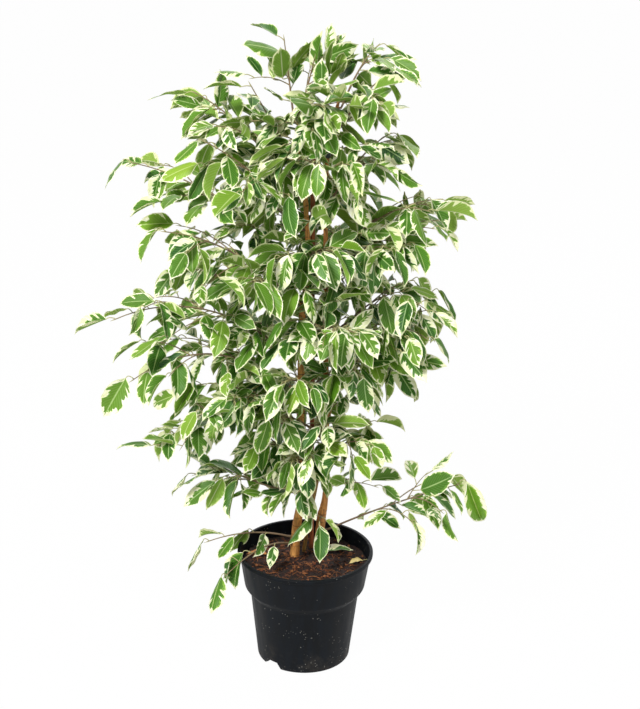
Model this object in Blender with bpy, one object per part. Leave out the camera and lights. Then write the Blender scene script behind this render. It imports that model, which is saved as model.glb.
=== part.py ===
"""Potted weeping fig: a variegated Ficus benjamina with three stems in a black plastic pot.

Metres, +Z up. The origin is the centre of the pot's underside, which rests on z = 0. +X is the
plant's right side and -Y its front. Azimuths turn from +X towards +Y.

Every branch is one solid: a three-sided twig from whose sides smaller twigs and leaves grow.
"""
import math
import random
from collections import namedtuple

import bmesh
import bpy
from mathutils import Vector, noise
from mathutils.bvhtree import BVHTree

GAP = 0.0003          # kept between pieces that touch
CLEAR = 0.0005        # kept round leaves that pass one another
TWIG_CLEAR = 0.0012   # kept round twigs
UP = Vector((0, 0, 1))

# Pot
POT_SIDES = 48
POT_HEIGHT = 0.178
RIM_RADIUS = 0.105
LIP_REACH = 0.0035    # how far the rim's lip stands out of the band
LIP_HEIGHT = 0.006
BAND_LOW = 0.121      # height where the upper band starts
BAND_RADIUS = 0.0935  # at the band's lower edge
NECK_HIGH = 0.111     # height where the plain lower wall ends
NECK_RADIUS = 0.0845
BASE_RADIUS = 0.072
BASE_ROUND = 0.002
WALL = 0.0015
FLOOR = 0.002
NOTCHES = 2           # moulded drain recesses in the base's edge
NOTCH_TURN = 228.5    # azimuth of the first
NOTCH_HALF_LOW = 13.5  # half its width, in degrees round the base, at the foot and at its top
NOTCH_HALF_HIGH = 8.0
NOTCH_HEIGHT = 0.011
NOTCH_INNER = 0.052   # radius that it reaches in to

# Soil
SOIL_LEVEL = 0.155
SOIL_RINGS = 6
SOIL_BUMPS = (         # clods and crumbs: waves per metre, height
    (38, 0.0025),
    (95, 0.0015),
)

# Stems. Each stands at its place on the soil, in shares of the rim's radius, and climbs in
# stretches: how high a stretch climbs, how many degrees it leans to the right and to the back, and
# the stem's radius at its upper end.
Stretch = namedtuple("Stretch", "climb right back radius")
Stem = namedtuple("Stem", "place radius stretches")
STEM_PLANS = {
    "left": Stem((-0.16, 0.22), 0.0074, (
        Stretch(0.055, 3, -4, 0.0070),
        Stretch(0.055, 8, -4, 0.0066),
        Stretch(0.060, -4, -3, 0.0062),
        Stretch(0.240, 0, -2, 0.0048),
        Stretch(0.080, 5, 0, 0.0040),
        Stretch(0.225, -5, 1, 0.0021),
    )),
    "middle": Stem((-0.02, 0.35), 0.0031, (
        Stretch(0.110, 8, -5, 0.0029),
        Stretch(0.150, 8, -4, 0.0025),
        Stretch(0.100, 3, 1, 0.0022),
        Stretch(0.145, 1, 3, 0.0016),
    )),
    "right": Stem((0.20, 0.20), 0.0044, (
        Stretch(0.030, 1, -4, 0.0070),
        Stretch(0.030, 3, -4, 0.0072),
        Stretch(0.050, 7, -4, 0.0046),
        Stretch(0.240, -1, -2, 0.0039),
        Stretch(0.270, -1, -1, 0.0030),
        Stretch(0.070, 5, 0, 0.0025),
        Stretch(0.040, 15, -2, 0.0020),
    )),
}
STEM_STEPS = 3         # points in each stretch
ROOT_END = 0.120
STEM_SIDES = 10

# Support cane and its ties
CANE_RADIUS = 0.0037
CANE_FOOT = Vector((0.010, 0.050, 0.118))
CANE_TOP = Vector((0.000, 0.008, 0.845))
TIE_THICKNESS = 0.0012
TIE_SIDES = 24
TIE_LOW = 0.550
TIE_LOW_WIDTH = 0.005
TIE_HIGH = 0.805
TIE_HIGH_WIDTH = 0.014

# Twigs and leaves
COLLAR = 0.004        # a branch's first stretch, square to its stem
TWIG_RADIUS = (0.0019, 0.0009)
FORK_RADIUS = (0.0011, 0.0007)
TWIG_BEND = 0.08      # the most a branch bends aside, as a share of its reach
TWIG_STEP = 0.02      # share of a twig over which its direction is read
BUD = 0.0022          # length along a twig of the place that a leaf or fork grows from,
BUD_MOST = 0.4        # and the most of a twig's stretch that it takes
FORK_AIM = 0.3        # share of a fork that the bud it grows from looks towards
SKIN_SEARCH = 0.03    # how far out of a stem's middle the search for its skin starts
FIRST_LEAF = 0.26     # share of a branch's twig before its first leaf
END_LEAF = 0.985      # share past which a leaf ends its twig
FORK_FIRST_LEAF = 0.5
FORK_LEAVES = 3
FORK_SPAN = (0.30, 0.72)      # shares of a branch between which its forks leave it
FORK_SPLAY = (30, 55)
FORK_REACH = (0.45, 0.60)     # reach of a fork as a share of what is left of its branch,
FORK_MORE = 0.030             # and what it has over that
FORK_RISE = (-0.1, 0.5)       # rise and bow of a fork as shares of its reach
FORK_BOW = 0.1
PETIOLE = 0.013
PETIOLE_SPREAD = (0.8, 1.2)
PETIOLE_LIFT = (-5, 25)
PETIOLE_RADIUS = 0.0007
LEAF_SPLAY = (35, 75)         # degrees a leaf stands out to its side of the twig,
LEAF_SWING = 12               # and strays from that
LEAF_LENGTH = (0.043, 0.062)
DROOP_SPREAD = 20     # degrees a leaf may hang above or under its branch's own droop
LEAF_ROLL = (-25, 50, 22)     # lowest, highest and usual roll of a blade towards the light
LEAF_SHAPE = 0.50     # width to length
LEAF_SHAPE_SPREAD = (0.85, 1.15)
LEAF_WIDEST = 0.42    # where the blade is widest, as a share of its length
LEAF_THICKNESS = 0.0010
HULL_STATIONS = 8     # stretches in the loose hull round a twig

# What may touch its own branch: the first shares of a branch, a fork and a petiole
TWIG_FREE = 0.02
FORK_FREE = 0.12
PETIOLE_FREE = 0.4

Branch = namedtuple("Branch", "name stem height azimuth reach rise bow droop leaves forks")

# The crown. Seen from above it is an oval. Seen from the side its branches are longest half way up,
# and each climbs more steeply than the ones below it.
CROWN_LOW = 0.18      # heights between which branches leave the stems
CROWN_HIGH = 0.90
SPREAD_LEFT = 0.28    # length of the longest branches to each side
SPREAD_RIGHT = 0.18
SPREAD_DEPTH = 0.10
SHORTEST = 0.3        # length of the lowest and highest branches, as a share of the longest
STEEPEST = 75         # degrees over level that the highest branches climb

# Each branch: its stem, the height it leaves it at, its azimuth, how far its middle bows up, how
# its leaves droop, and how many leaves and side twigs it has. Vigour is its length against what
# its place in the crown gives it, and lift is how many degrees more steeply than that it climbs.
HABIT_FIELDS = "name stem height azimuth bow droop leaves forks vigour lift"
Habit = namedtuple("Habit", HABIT_FIELDS, defaults=(1.0, 0))
HABITS = (
    Habit("top_left", "left", 0.845, 150, 0.000, -28, 6, 1, 1.0, 15),
    Habit("top_centre", "left", 0.855, 40, 0.000, -28, 4, 0, 1.2, 5),
    Habit("top_right", "right", 0.870, 10, 0.010, 15, 7, 2, 1.4, -10),
    Habit("top_right_low", "right", 0.830, 340, 0.006, 25, 7, 1, 1.3, -10),
    Habit("right_high", "right", 0.735, 5, 0.012, 30, 7, 2, 0.9, 5),
    Habit("upper_left", "left", 0.785, 198, 0.000, 10, 7, 1, 0.8, 5),
    Habit("left_high", "left", 0.735, 180, 0.018, 18, 8, 2),
    Habit("left_high_front", "left", 0.690, 210, 0.015, 35, 8, 2, 1.0, 5),
    Habit("left_long", "left", 0.620, 178, 0.025, 28, 9, 3, 1.1, 5),
    Habit("left_mid", "left", 0.575, 200, 0.025, 35, 8, 3, 0.9, 10),
    Habit("left_back", "left", 0.545, 165, 0.025, 40, 8, 2, 0.7),
    Habit("left_far", "left", 0.490, 185, 0.045, 32, 9, 3),
    Habit("left_far_low", "left", 0.440, 198, 0.045, 50, 9, 3),
    Habit("left_low", "left", 0.375, 188, 0.035, 45, 8, 2, 0.9, -10),
    Habit("left_low_front", "left", 0.410, 220, 0.020, 55, 7, 2, 0.9, 5),
    Habit("left_base", "left", 0.265, 172, 0.000, 40, 5, 1, 0.8, 15),
    Habit("right_wide", "right", 0.650, 352, 0.020, 38, 8, 3, 1.1),
    Habit("right_wide_back", "right", 0.610, 18, 0.025, 42, 8, 2, 1.1),
    Habit("right_mid", "right", 0.530, 5, 0.020, 45, 8, 2, 0.9, 5),
    Habit("right_mid_low", "middle", 0.500, 345, 0.025, 55, 8, 2, 0.8),
    Habit("right_hang", "middle", 0.430, 15, 0.030, 50, 7, 2, 0.7),
    Habit("right_back", "middle", 0.350, 35, 0.012, 35, 5, 1, 0.4),
    Habit("right_stub", "right", 0.285, 345, 0.000, 10, 3, 0, 0.3, 20),
    Habit("right_low", "right", 0.205, 352, 0.012, 38, 9, 3, 3.3, 25),
    Habit("soil_front", "left", 0.180, 222, 0.020, 68, 5, 0, 2.0, -5),
    Habit("soil_left", "left", 0.190, 190, 0.012, 35, 5, 0, 1.4),
    Habit("front_foot", "right", 0.230, 262, 0.004, 50, 3, 0, 0.6, 10),
    Habit("front_low", "left", 0.320, 262, 0.008, 55, 6, 1, 0.8, 25),
    Habit("front_middle", "left", 0.430, 282, 0.012, 55, 7, 1, 0.9, 25),
    Habit("front_breast", "right", 0.520, 258, 0.012, 55, 7, 2, 0.8, 15),
    Habit("front_upper", "left", 0.625, 278, 0.012, 50, 7, 2, 1.1, 5),
    Habit("front_high", "right", 0.750, 262, 0.010, 50, 7, 2, 1.2, -10),
)

# The branches that fill the crown on every side climb the stems in a spiral. Their reach swells
# from the crown's foot to its middle and shrinks again to its top.
FILL_COUNT = 16
FILL_STEMS = ("left", "right", "left", "middle")
FILL_TOPS = {"left": 0.850, "middle": 0.630, "right": 0.850}
FILL_LOW = 0.280
FILL_FIRST = 185
GOLDEN_TURN = 137.508
# Degrees that a few of them turn aside, to pass a stem or another branch
FILL_TURNS = {4: -15, 5: -30, 7: 15, 9: 30, 12: 90, 13: 45, 14: 40}
FILL_REACH = (0.045, 0.125)
FILL_RISE = (0.035, 0.075)
FILL_SWELL = 1.1      # how much sooner than the spiral's end its branches are shortest again
FILL_BOW = 0.014
FILL_DROOP = (30, 55)
FILL_LEAVES = 8
FILL_FORKS = 1

# Leaves fallen on the soil: the azimuth they lie at, how far they stay from the pot's wall, the
# azimuth they point to, their length and width, and how far their edges curl up
FALLEN = {
    "dry": (165, 0.001, 172, 0.033, 0.016, 0.35),
    "pale": (0, 0.005, 205, 0.025, 0.013, 0.20),
    "green": (35, 0.009, 8, 0.048, 0.020, 0.15),
}
FALLEN_OUTLINE = ((0.00, 0.04), (0.20, 0.36), (0.45, 0.50), (0.72, 0.32), (0.90, 0.08))

Leaf = namedtuple("Leaf", "foot base along side face length width")
Twig = namedtuple("Twig", "course azimuth radii")


def make_material(name, colour, roughness):
    """A non-metallic Principled material."""
    material = bpy.data.materials.new(name)
    material.use_nodes = True
    shader = material.node_tree.nodes["Principled BSDF"]
    shader.inputs["Base Color"].default_value = (*colour, 1)
    shader.inputs["Roughness"].default_value = roughness
    shader.inputs["Metallic"].default_value = 0
    material.diffuse_color = (*colour, 1)
    return material


def add_object(name, bm, material, smooth_angle=0):
    """Turns a bmesh into an object of the scene, with its faces pointing out."""
    bmesh.ops.recalc_face_normals(bm, faces=bm.faces)
    mesh = bpy.data.meshes.new(name)
    bm.to_mesh(mesh)
    bm.free()
    if smooth_angle:
        mesh.shade_smooth()
        mesh.set_sharp_from_angle(angle=math.radians(smooth_angle))
    mesh.materials.append(material)
    made = bpy.data.objects.new(name, mesh)
    bpy.context.collection.objects.link(made)
    return made


def outward(azimuth):
    """The level direction at an azimuth in degrees."""
    return Vector((math.cos(math.radians(azimuth)), math.sin(math.radians(azimuth)), 0))


def stem_course(plan):
    """A stem's centre line as (point, radius) pairs, its leans eased into one another."""
    x, y = plan.place[0] * RIM_RADIUS, plan.place[1] * RIM_RADIUS
    foot = Vector((x, y, SOIL_LEVEL))
    knots = [(foot, plan.radius)]
    for stretch in plan.stretches:
        right = math.tan(math.radians(stretch.right))
        back = math.tan(math.radians(stretch.back))
        knots.append((knots[-1][0] + Vector((right, back, 1)) * stretch.climb, stretch.radius))
    centres = [centre for centre, _ in knots]
    ahead = centres[-1] * 2 - centres[-2]
    padded = [centres[0] - UP * plan.stretches[0].climb, *centres, ahead]
    course = [((x, y, ROOT_END), plan.radius)]
    for i, ((_, thick), (_, thin)) in enumerate(zip(knots, knots[1:])):
        before, low, high, after = padded[i:i + 4]
        leave = (high - before) / 2
        reach = (after - low) / 2
        for k in range(STEM_STEPS):
            t = k / STEM_STEPS
            place = low.lerp(high, t * t * (3 - 2 * t))
            place += leave * (t * (1 - t) ** 2) - reach * (t * t * (1 - t))
            place.z = low.z + (high.z - low.z) * t
            course.append((tuple(place), thick + (thin - thick) * t))
    course.append((tuple(centres[-1]), knots[-1][1]))
    return tuple(course)


def grown(habit):
    """The branch that a habit gives, its reach and rise worked out from its place in the crown."""
    share = (habit.height - CROWN_LOW) / (CROWN_HIGH - CROWN_LOW)
    heading = outward(habit.azimuth)
    side = SPREAD_RIGHT if heading.x > 0 else SPREAD_LEFT
    longest = math.hypot(side * heading.x, SPREAD_DEPTH * heading.y)
    length = longest * (SHORTEST + (1 - SHORTEST) * math.sin(math.pi * share)) * habit.vigour
    climb = math.radians(STEEPEST * share ** 2 + habit.lift)
    reach = length * math.cos(climb)
    rise = length * math.sin(climb)
    place = (habit.name, habit.stem, habit.height, habit.azimuth)
    return Branch(*place, reach, rise, habit.bow, habit.droop, habit.leaves, habit.forks)


STEMS = {name: stem_course(plan) for name, plan in STEM_PLANS.items()}
BRANCHES = tuple(grown(habit) for habit in HABITS)


# ---------------------------------------------------------------- pot and soil

def turned(bm, profile, sides):
    """A closed solid turned round Z from (radius, height) points that start and end on the axis."""
    rings = []
    for radius, height in profile:
        if radius == 0:
            rings.append([bm.verts.new((0, 0, height))])
            continue
        turn = [outward(360 * i / sides) * radius + UP * height for i in range(sides)]
        rings.append([bm.verts.new(point) for point in turn])
    for low, high in zip(rings, rings[1:]):
        for i in range(sides):
            j = (i + 1) % sides
            corners = [low[i % len(low)], low[j % len(low)], high[j % len(high)], high[i % len(high)]]
            bm.faces.new(list(dict.fromkeys(corners)))
    return rings


def inner_wall(height):
    """The pot's inner radius at a height."""
    points = (
        (FLOOR, BASE_RADIUS - WALL),
        (NECK_HIGH + WALL, NECK_RADIUS - WALL),
        (BAND_LOW + WALL, BAND_RADIUS - WALL),
        (POT_HEIGHT, RIM_RADIUS - LIP_REACH - WALL),
    )
    for (low, narrow), (high, wide) in zip(points, points[1:]):
        if height <= high:
            return narrow + (wide - narrow) * (height - low) / (high - low)
    return points[-1][1]


def make_pot(material):
    """The turned pot, with drain notches cut out of its base's edge."""
    band_top = RIM_RADIUS - LIP_REACH
    lip = LIP_REACH / 3
    outside = (
        (0, 0),
        (BASE_RADIUS - BASE_ROUND, 0),
        (BASE_RADIUS, BASE_ROUND),
        (NECK_RADIUS, NECK_HIGH),
        (BAND_RADIUS, BAND_LOW),
        (band_top, POT_HEIGHT - LIP_HEIGHT),
        (RIM_RADIUS - lip, POT_HEIGHT - LIP_HEIGHT),
        (RIM_RADIUS, POT_HEIGHT - LIP_HEIGHT + lip),
        (RIM_RADIUS, POT_HEIGHT - lip),
        (RIM_RADIUS - lip, POT_HEIGHT),
    )
    inside = (
        (band_top - WALL, POT_HEIGHT),
        (inner_wall(BAND_LOW + WALL), BAND_LOW + WALL),
        (inner_wall(NECK_HIGH + WALL), NECK_HIGH + WALL),
        (inner_wall(FLOOR), FLOOR),
        (0, FLOOR),
    )
    bm = bmesh.new()
    turned(bm, outside + inside, POT_SIDES)
    pot = add_object("pot", bm, material, 35)
    for i in range(NOTCHES):
        turn = NOTCH_TURN + 360 * i / NOTCHES
        combine(pot, notch_shape(turn, WALL, BASE_RADIUS - WALL / 2, FLOOR * 0.75, material), "UNION")
        combine(pot, notch_shape(turn, 0, BASE_RADIUS + WALL, -FLOOR, material), "DIFFERENCE")
    return pot


def notch_shape(turn, swell, outer, low, material):
    """A drain recess as a solid out to a radius at the foot, swollen where it makes its own walls."""
    more = math.degrees(swell / NOTCH_INNER)
    taper = (NECK_RADIUS - BASE_RADIUS) / NECK_HIGH
    bm = bmesh.new()
    rings = []
    shares = [k / 2 - 1 for k in range(5)]
    for height in (low, NOTCH_HEIGHT + swell):
        half = NOTCH_HALF_LOW + (NOTCH_HALF_HIGH - NOTCH_HALF_LOW) * height / NOTCH_HEIGHT
        inner = [outward(turn + (half + more) * k) * (NOTCH_INNER - swell) for k in shares]
        edge = [outward(turn + (half + more) * k) * (outer + taper * height) for k in reversed(shares)]
        rings.append([bm.verts.new(point + UP * height) for point in inner + edge])
    bm.faces.new(rings[0])
    bm.faces.new(rings[1][::-1])
    for k in range(len(rings[0])):
        j = (k + 1) % len(rings[0])
        bm.faces.new((rings[0][k], rings[1][k], rings[1][j], rings[0][j]))
    bmesh.ops.triangulate(bm, faces=bm.faces)
    return add_object("notch", bm, material)


def combine(target, tool, operation):
    """Joins tool's shape to target or cuts it out of it, and removes the tool."""
    tool.hide_render = True
    tool.display_type = "WIRE"
    modifier = target.modifiers.new("combine", "BOOLEAN")
    modifier.operation = operation
    modifier.object = tool
    depsgraph = bpy.context.evaluated_depsgraph_get()
    result = bpy.data.meshes.new_from_object(target.evaluated_get(depsgraph))
    target.modifiers.clear()
    target.data = result
    bpy.data.objects.remove(tool)


def soil_bump(x, y):
    """Height of the soil's uneven top over its level."""
    return sum(noise.noise(Vector((x * waves, y * waves, waves))) * high for waves, high in SOIL_BUMPS)


def make_soil(material):
    """The soil, which follows the pot's inside, with a hole for each stem and the cane."""
    rim = inner_wall(SOIL_LEVEL) - GAP
    floor = FLOOR + GAP
    profile = [
        (0, floor),
        (inner_wall(floor) - GAP, floor),
        (inner_wall(NECK_HIGH + WALL) - GAP, NECK_HIGH + WALL),
        (inner_wall(BAND_LOW + WALL) - GAP, BAND_LOW + WALL),
    ]
    for i in range(SOIL_RINGS):
        profile.append((rim * (1 - i / SOIL_RINGS), SOIL_LEVEL))
    profile.append((0, SOIL_LEVEL))
    bm = bmesh.new()
    rings = turned(bm, profile, POT_SIDES)
    for ring in rings[-SOIL_RINGS:]:
        for vertex in ring:
            vertex.co.z += soil_bump(vertex.co.x, vertex.co.y)
    soil = add_object("soil", bm, material, 60)
    for course in (*STEMS.values(), cane_course()):
        combine(soil, make_tube("root_hole", course, STEM_SIDES, material, GAP), "DIFFERENCE")
    for i in range(NOTCHES):
        turn = NOTCH_TURN + 360 * i / NOTCHES
        hollow = notch_shape(turn, WALL + GAP, BASE_RADIUS + WALL, -FLOOR, material)
        combine(soil, hollow, "DIFFERENCE")
    return soil


# ---------------------------------------------------------------- stems, cane and ties

def cane_course():
    """The cane's centre line as (point, radius) pairs."""
    return ((CANE_FOOT, CANE_RADIUS), (CANE_TOP, CANE_RADIUS))


def make_tube(name, course, sides, material, swell=0.0):
    """A closed tube along (point, radius) pairs with level ends, swollen and deepened for a hole."""
    bm = bmesh.new()
    rings = []
    for i, (point, radius) in enumerate(course):
        centre = Vector(point)
        if i == 0:
            centre.z -= swell
        ring = []
        for k in range(sides):
            ring.append(bm.verts.new(centre + outward(360 * k / sides) * (radius + swell)))
        rings.append(ring)
    for low, high in zip(rings, rings[1:]):
        for k in range(sides):
            j = (k + 1) % sides
            bm.faces.new((low[k], low[j], high[j], high[k]))
    bm.faces.new(rings[0][::-1])
    bm.faces.new(rings[-1])
    return add_object(name, bm, material, 50)


def course_at(course, height):
    """Centre and radius of a stem at a height."""
    for (low, thick), (high, thin) in zip(course, course[1:]):
        if height <= high[2]:
            share = (height - low[2]) / (high[2] - low[2])
            return Vector(low).lerp(Vector(high), share), thick + (thin - thick) * share
    return Vector(course[-1][0]), course[-1][1]


def make_tie(name, height, width, stem, material):
    """A flat band pulled round a stem and the cane."""
    rounds = [course_at(STEMS[stem], height), course_at(cane_course(), height)]
    bm = bmesh.new()
    rings = []
    for off, rise in ((GAP, -0.5), (GAP, 0.5), (TIE_THICKNESS, 0.5), (TIE_THICKNESS, -0.5)):
        ring = []
        for k in range(TIE_SIDES):
            heading = outward(360 * (k + 0.5) / TIE_SIDES)
            centre, radius = max(rounds, key=lambda r: r[0].dot(heading) + r[1])
            place = centre + heading * (radius + GAP + off)
            place.z = height + rise * width
            ring.append(bm.verts.new(place))
        rings.append(ring)
    for low, high in zip(rings, rings[1:] + rings[:1]):
        for k in range(TIE_SIDES):
            j = (k + 1) % TIE_SIDES
            bm.faces.new((low[k], low[j], high[j], high[k]))
    return add_object(name, bm, material, 40)


# ---------------------------------------------------------------- leaves and twigs as shapes

def leaf_at(foot, azimuth, droop, length, chance):
    """A leaf whose petiole starts at foot and whose blade hangs droop degrees under level.

    Most leaves roll their upper face a little towards the front, where the light comes from.
    """
    heading = outward(azimuth)
    lift = math.radians(chance.uniform(*PETIOLE_LIFT))
    petiole = heading * math.cos(lift) + UP * math.sin(lift)
    base = foot + petiole * PETIOLE * chance.uniform(*PETIOLE_SPREAD)
    down = math.radians(droop)
    along = heading * math.cos(down) - UP * math.sin(down)
    level = UP.cross(heading)
    lightward = 1 if level.y > 0 else -1
    turn = math.radians(chance.triangular(*LEAF_ROLL)) * lightward
    side = level * math.cos(turn) + along.cross(level) * math.sin(turn)
    face = along.cross(side)
    width = length * LEAF_SHAPE * chance.uniform(*LEAF_SHAPE_SPREAD)
    return Leaf(foot, base, along, side, face, length, width)


def leaf_sections(leaf):
    """The petiole's end and the widest place of a blade: right edge, left edge, underside."""
    base = []
    for turn in (30, 150, 270):
        angle = math.radians(turn)
        spoke = leaf.side * math.cos(angle) + leaf.face * math.sin(angle)
        base.append(leaf.base + spoke * PETIOLE_RADIUS)
    middle = leaf.base + leaf.along * leaf.length * LEAF_WIDEST
    half = leaf.side * leaf.width / 2
    widest = [middle + half, middle - half, middle - leaf.face * LEAF_THICKNESS]
    return base, widest, leaf.base + leaf.along * leaf.length


def leaf_envelope(leaf, first):
    """A loose closed hull round a leaf, from the share first of its petiole."""
    middle = leaf.base + leaf.along * leaf.length * LEAF_WIDEST
    start = leaf.foot.lerp(leaf.base, first)
    tip = leaf.base + leaf.along * (leaf.length + CLEAR)
    points = []
    for centre, half in ((start, PETIOLE_RADIUS), (leaf.base, PETIOLE_RADIUS), (middle, leaf.width / 2)):
        under = LEAF_THICKNESS if centre is middle else PETIOLE_RADIUS
        points.append(centre + leaf.side * (half + CLEAR))
        points.append(centre + leaf.face * (CLEAR if centre is middle else PETIOLE_RADIUS + CLEAR))
        points.append(centre - leaf.side * (half + CLEAR))
        points.append(centre - leaf.face * (under + CLEAR))
    points.append(tip)
    faces = [(3, 2, 1, 0)]
    for ring in (0, 4):
        for k in range(4):
            j = (k + 1) % 4
            faces.append((ring + k, ring + j, ring + 4 + j, ring + 4 + k))
    for k in range(4):
        faces.append((8 + k, 8 + (k + 1) % 4, 12))
    return points, faces


def twig_course(start, azimuth, reach, rise, bow, bend):
    """Points of a twig as a function of the share gone: out, up, bowed up and bent aside."""
    heading = outward(azimuth)
    aside = UP.cross(heading)

    def place(share):
        arc = 4 * share * (1 - share)
        return start + heading * reach * share + UP * (rise * share + bow * arc) + aside * bend * arc
    return place


def twig_ring(twig, share):
    """The three corners of a twig at a share of its length, counterclockwise about its direction."""
    ahead = twig.course(min(share + TWIG_STEP, 1.0))
    direction = (ahead - twig.course(max(share - TWIG_STEP, 0.0))).normalized()
    side = UP.cross(outward(twig.azimuth)).cross(direction).normalized()
    other = direction.cross(side)
    radius = twig.radii[0] + (twig.radii[1] - twig.radii[0]) * share
    centre = twig.course(share)
    corners = []
    for k in range(3):
        angle = math.radians(90 + 120 * k)
        corners.append(centre + (side * math.cos(angle) + other * math.sin(angle)) * radius)
    return corners


def twig_envelope(twig, first):
    """A loose hull round a twig from the share first to its end."""
    points = []
    faces = []
    for i in range(HULL_STATIONS + 1):
        share = first + (1 - first) * i / HULL_STATIONS
        centre = twig.course(share)
        for corner in twig_ring(twig, share):
            points.append(corner + (corner - centre).normalized() * TWIG_CLEAR)
    for low in range(0, 3 * HULL_STATIONS, 3):
        for k in range(3):
            j = (k + 1) % 3
            faces.append((low + k, low + j, low + 3 + j, low + 3 + k))
    faces.append((0, 2, 1))
    faces.append(tuple(range(3 * HULL_STATIONS, 3 * HULL_STATIONS + 3)))
    return points, faces


class Crowd:
    """The shapes placed so far, which tells whether a new one would touch them."""

    def __init__(self):
        self.shapes = []

    @staticmethod
    def bounds(points):
        low = [min(p[i] for p in points) for i in range(3)]
        high = [max(p[i] for p in points) for i in range(3)]
        return low, high

    def touches(self, points, faces, skip=None, only=None):
        """The name of a placed shape that this one meets, of all but skip's or of only one name's."""
        low, high = self.bounds(points)
        tree = BVHTree.FromPolygons(points, faces)
        for other_low, other_high, other, name in self.shapes:
            if name == skip or (only is not None and name != only):
                continue
            if any(low[i] > other_high[i] or high[i] < other_low[i] for i in range(3)):
                continue
            if other.overlap(tree):
                return name
        return None

    def add(self, points, faces, name):
        low, high = self.bounds(points)
        self.shapes.append((low, high, BVHTree.FromPolygons(points, faces), name))

    def add_object(self, made):
        self.add(*shape_of(made), made.name)


def make_fallen_leaf(name, bearing, room, azimuth, length, width, curl, material, soil):
    """A leaf lying on the soil, its edges curled up, a gap above the highest ground under it."""
    place = outward(bearing) * (inner_wall(SOIL_LEVEL) - room - length / 2)
    heading = outward(azimuth)
    aside = UP.cross(heading)
    bm = bmesh.new()
    low = None
    for share, half in FALLEN_OUTLINE:
        centre = place + heading * length * (share - 0.5)
        lift = UP * curl * half * width
        points = [centre + aside * half * width + lift, centre - aside * half * width + lift]
        ring = [bm.verts.new(point) for point in (*points, centre - UP * LEAF_THICKNESS)]
        if low is None:
            bm.faces.new(ring[::-1])
        else:
            join_rings(bm, low, ring)
        low = ring
    end = bm.verts.new(place + heading * length * 0.5)
    for k in range(3):
        bm.faces.new((low[k], low[(k + 1) % 3], end))
    ground = BVHTree.FromPolygons(*shape_of(soil))
    leaf = BVHTree.FromBMesh(bm)
    rooms = []
    for vertex in bm.verts:
        hit = ground.ray_cast(vertex.co + UP, -UP)[0]
        rooms.append(vertex.co.z - hit.z)
    for vertex in soil.data.vertices:
        if (vertex.co.xy - place.xy).length < length:
            hit = leaf.ray_cast(vertex.co - UP, UP)[0]
            if hit:
                rooms.append(hit.z - vertex.co.z)
    bmesh.ops.translate(bm, verts=bm.verts, vec=UP * (GAP - min(rooms)))
    return add_object(f"fallen_leaf_{name}", bm, material)


def shape_of(made):
    """The points and faces of an object that lies where its mesh does."""
    return [v.co for v in made.data.vertices], [tuple(p.vertices) for p in made.data.polygons]


# ---------------------------------------------------------------- growing a branch

def fill_branches():
    """The branches between the chosen ones, in a spiral up the stems."""
    made = []
    chance = random.Random("fill")
    for i in range(FILL_COUNT):
        stem = FILL_STEMS[i % len(FILL_STEMS)]
        share = (i + 0.5) / FILL_COUNT
        height = FILL_LOW + (FILL_TOPS[stem] - FILL_LOW) * share
        azimuth = (FILL_FIRST + GOLDEN_TURN * i + FILL_TURNS.get(i + 1, 0)) % 360
        swell = math.sin(math.pi * min(share * FILL_SWELL, 1.0))
        reach = FILL_REACH[0] + (FILL_REACH[1] - FILL_REACH[0]) * swell
        rise = chance.uniform(*FILL_RISE)
        droop = chance.uniform(*FILL_DROOP)
        name = f"crown_{i + 1:02d}"
        bow = FILL_BOW
        made.append(Branch(name, stem, height, azimuth, reach, rise, bow, droop, FILL_LEAVES, FILL_FORKS))
    return made


def leaves_on(twig, count, first, hang, stream):
    """Alternate leaves along a twig, the last at its end: (share, leaf) pairs."""
    made = []
    chance = random.Random(stream)
    hand = chance.choice((-1, 1))
    for i in range(count):
        share = first + (1 - first) * i / max(count - 1, 1)
        hand = -hand
        splay = 0 if i == count - 1 else hand * chance.uniform(*LEAF_SPLAY)
        azimuth = twig.azimuth + splay + chance.uniform(-LEAF_SWING, LEAF_SWING)
        droop = hang + chance.uniform(-DROOP_SPREAD, DROOP_SPREAD)
        length = chance.uniform(*LEAF_LENGTH)
        made.append((share, leaf_at(twig.course(share), azimuth, droop, length, chance)))
    return made


def plan_branch(branch, stem_tree):
    """The main twig of a branch, and the collar ring that starts it off its stem."""
    centre, _ = course_at(STEMS[branch.stem], branch.height)
    heading = outward(branch.azimuth)
    hit, normal, _, _ = stem_tree.ray_cast(centre + heading * SKIN_SEARCH, -heading)
    start = hit + normal * GAP
    bend = random.Random(branch.name).uniform(-TWIG_BEND, TWIG_BEND) * branch.reach
    course = twig_course(
        start + normal * COLLAR, branch.azimuth, branch.reach - COLLAR, branch.rise, branch.bow, bend
    )
    return start, normal, Twig(course, branch.azimuth, TWIG_RADIUS)


def fork_twigs(branch, twig):
    """Side twigs of a branch: (share, twig, name of its stream of chance) triples."""
    made = []
    chance = random.Random(f"{branch.name} forks")
    hand = chance.choice((-1, 1))
    for i in range(branch.forks):
        share = FORK_SPAN[0] + (FORK_SPAN[1] - FORK_SPAN[0]) * (i + 0.5) / branch.forks
        hand = -hand
        azimuth = branch.azimuth + hand * chance.uniform(*FORK_SPLAY)
        reach = chance.uniform(*FORK_REACH) * (1 - share) * branch.reach + FORK_MORE
        rise = chance.uniform(*FORK_RISE) * reach
        course = twig_course(twig.course(share), azimuth, reach, rise, FORK_BOW * reach, 0)
        made.append((share, Twig(course, azimuth, FORK_RADIUS), f"{branch.name} fork {i}"))
    return made


def matched(ring, base):
    """The ring turned so that its first corner is the one nearest the base's first corner."""
    turns = [ring[k:] + ring[:k] for k in range(3)]
    return min(turns, key=lambda turn: sum((a - b.co).length for a, b in zip(turn, base)))


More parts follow.
